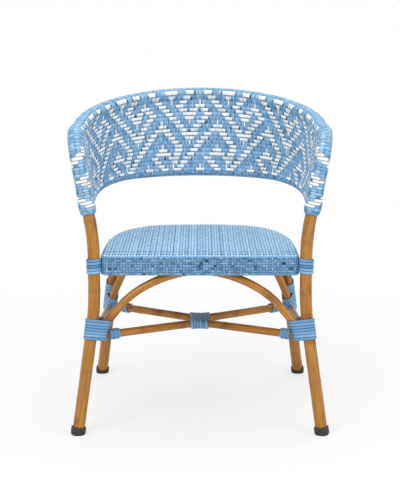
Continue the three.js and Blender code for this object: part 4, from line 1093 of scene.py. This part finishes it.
def sleeve(name, line, radius, node_name, turns):
    """A sleeve of turns about the middle of the frame's own sleeve on the pole."""
    low, high = (np.array(corner) / METRE - POSTS_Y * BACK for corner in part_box(f"{node_name}_left"))
    along = unit(line[3] - line[0])
    bound = bundle(line[0], along, [(line[:SLEEVE_REACH], radius)], (SLEEVE_STEPS,), facing=UP)
    start = ((low + high) / 2 - line[0]) @ along - BINDING_PITCH * turns / 2
    add_binding(name, bound, start, turns, node_name)


sleeve("front_vee_sleeve_strand", front_vee, THIN_RADIUS, "front_vee_sleeve", 4)
sleeve("rear_vee_sleeve_strand", rear_vee, THIN_RADIUS, "rear_vee_sleeve", 3)
sleeve("side_sleeve_strand", side_line, SIDE_RADIUS, "side_sleeve", 1)

# Screws: countersunk steel screws pull each arch to its leg under the binding.
steel, steel_tree, steel_shader = new_finish("screw_steel", Metallic=1.0, Roughness=0.35)
turned_marks = noise(steel_tree, own_place(steel_tree), 1400.0, 2.0)
steel_colour = ramp(steel_tree, turned_marks, (0.35, 150, 152, 156), (0.65, 196, 198, 202))
steel_tree.links.new(steel_colour, steel_shader.inputs["Base Color"])
refinish([f"joint_screw_{end}{side}" for end in ("front", "rear") for side, _ in BOTH_SIDES], steel)

# Foot caps: black rubber cups pushed over the ends of the legs. They stand flat
# on the floor although the legs rake, and have a rounded lower edge.
CAP_RADIUS, CAP_TOP, CAP_SIDES = 18.5, 20, 40
# The cup's profile, each place a distance across and one along the leg.
CAP_PROFILE = np.array([
    [6, -6], [11, -6], [13.5, -4.6], [15.8, -2.2], [17.4, 0.6], [18.2, 3.4],
    [CAP_RADIUS, 6], [CAP_RADIUS, 17], [18.2, 18.6], [17.4, CAP_TOP - 0.4],
    [16.6, CAP_TOP], [15.7, CAP_TOP], [15.4, 19], [15.4, 11.9], [6, 11.9],
])
rubber, rubber_tree, rubber_shader = new_finish("cap_rubber", Roughness=0.55)
grain = noise(rubber_tree, own_place(rubber_tree), 700.0)
black = ramp(rubber_tree, grain, (0.3, 30, 30, 33), (0.7, 48, 48, 51))
marked(rubber_tree, rubber_shader, black, grain, 0.3, 0.4)


def add_cap(name, foot, run, node_name):
    """A cup turned about the leg's line from its profile of distances across and
    along. What would reach below the floor is pressed flat on it."""
    side = square_to(RIGHT, run)
    wheel = circle(CAP_SIDES) @ np.stack([side, np.cross(run, side)])
    places = foot + CAP_PROFILE[:, :1, None] * wheel + CAP_PROFILE[:, 1:, None] * run
    places[..., 2] = np.maximum(places[..., 2], 0)
    add_piece(name, places, tube_faces(1, len(CAP_PROFILE), CAP_SIDES), rubber, "rubber", [node_name])


for side, flip in BOTH_SIDES:
    add_cap("front_cap" + side, FRONT_FOOT * flip, front_run * flip, "front_foot_cap" + side)
    add_cap("rear_cap" + side, REAR_FOOT * flip, rear_run * flip, "rear_foot_cap" + side)

# Stage: a white floor that keeps the chair's soft shadow and fades into a white
# surrounding, large soft lamps, and the camera at the height of the arms.
FLOOR_REACH = 30.0
FLOOR_GREY, SKY_STRENGTH = 0.86, 0.62
PURE_WHITE = (1, 1, 1, 1)
CAMERA_Y, CAMERA_HEIGHT, CAMERA_PITCH = -2993.0, 1060.1, 11.311
floor_finish, floor_tree, floor_shader = new_finish("stage_floor", Roughness=0.9, Specular_IOR_Level=0.1)
floor_shader.inputs["Base Color"].default_value = (FLOOR_GREY, FLOOR_GREY, FLOOR_GREY, 1)
far = node(floor_tree, "ShaderNodeVectorMath", {0: own_place(floor_tree)}, operation="LENGTH")
fading = {"Value": far.outputs["Value"], "From Min": 0.5, "From Max": 1.5, "To Min": 0.6}
fade = node(floor_tree, "ShaderNodeMapRange", fading, interpolation_type="SMOOTHSTEP").outputs[0]
seen = node(floor_tree, "ShaderNodeLightPath", {}).outputs["Is Camera Ray"]
plain = node(floor_tree, "ShaderNodeMath", {0: fade, 1: seen}, operation="MULTIPLY").outputs[0]
white_light = node(floor_tree, "ShaderNodeEmission", {"Color": PURE_WHITE, "Strength": 1.0}).outputs[0]
faded = node(floor_tree, "ShaderNodeMixShader", {0: plain, 1: floor_shader.outputs[0], 2: white_light})
floor_tree.links.new(faded.outputs[0], floor_tree.nodes["Material Output"].inputs["Surface"])
floor_corners = FLOOR_REACH * np.array([[-1, -1, 0], [1, -1, 0], [1, 1, 0], [-1, 1, 0]])
floor_mesh = bpy.data.meshes.new("floor")
floor_mesh.from_pydata(floor_corners.tolist(), [], [(0, 1, 2, 3)])
floor_mesh.materials.append(floor_finish)
floor = placed("floor", floor_mesh)

world = bpy.data.worlds.new("white_room")
world.use_nodes = True
bpy.context.scene.world = world
room = world.node_tree
rays = node(room, "ShaderNodeLightPath", {}).outputs
shown = rays["Is Camera Ray"]
for kind in ("Is Glossy Ray", "Is Transmission Ray"):
    shown = node(room, "ShaderNodeMath", {0: shown, 1: rays[kind]}, operation="MAXIMUM").outputs[0]
soft_sky, white_sky = (
    node(room, "ShaderNodeBackground", {"Color": PURE_WHITE, "Strength": strength}).outputs[0]
    for strength in (SKY_STRENGTH, 1.0)
)
sky = node(room, "ShaderNodeMixShader", {0: shown, 1: soft_sky, 2: white_sky})
room.links.new(sky.outputs[0], room.nodes["World Output"].inputs["Surface"])


def add_lamp(name, place, target, size, power):
    """A square area lamp that faces a target."""
    light = bpy.data.lights.new(name, "AREA")
    light.shape, light.size, light.energy = "SQUARE", size, power
    lamp = placed(name, light)
    lamp.location = place
    lamp.rotation_mode = "QUATERNION"
    lamp.rotation_quaternion = Vector(np.subtract(target, place)).to_track_quat("-Z", "Y")


add_lamp("key_lamp", (-1.6, -2.6, 3.0), (0, 0, 0.45), 2.2, 62)
add_lamp("fill_lamp", (2.2, -2.2, 1.9), (0, 0, 0.55), 2.2, 32)
add_lamp("top_lamp", (0.2, 0.6, 3.2), (0, 0, 0.4), 2.6, 34)

lens = bpy.data.cameras.new("camera")
lens.lens, lens.sensor_width, lens.sensor_fit = 90, 36, "AUTO"
lens.clip_end = 200
camera = placed("camera", lens)
camera.location = (0, (CAMERA_Y + POSTS_Y) * METRE, CAMERA_HEIGHT * METRE)
camera.rotation_euler = (np.radians(90 - CAMERA_PITCH), 0, 0)
bpy.context.scene.camera = camera
bpy.context.scene.view_settings.view_transform = "Standard"
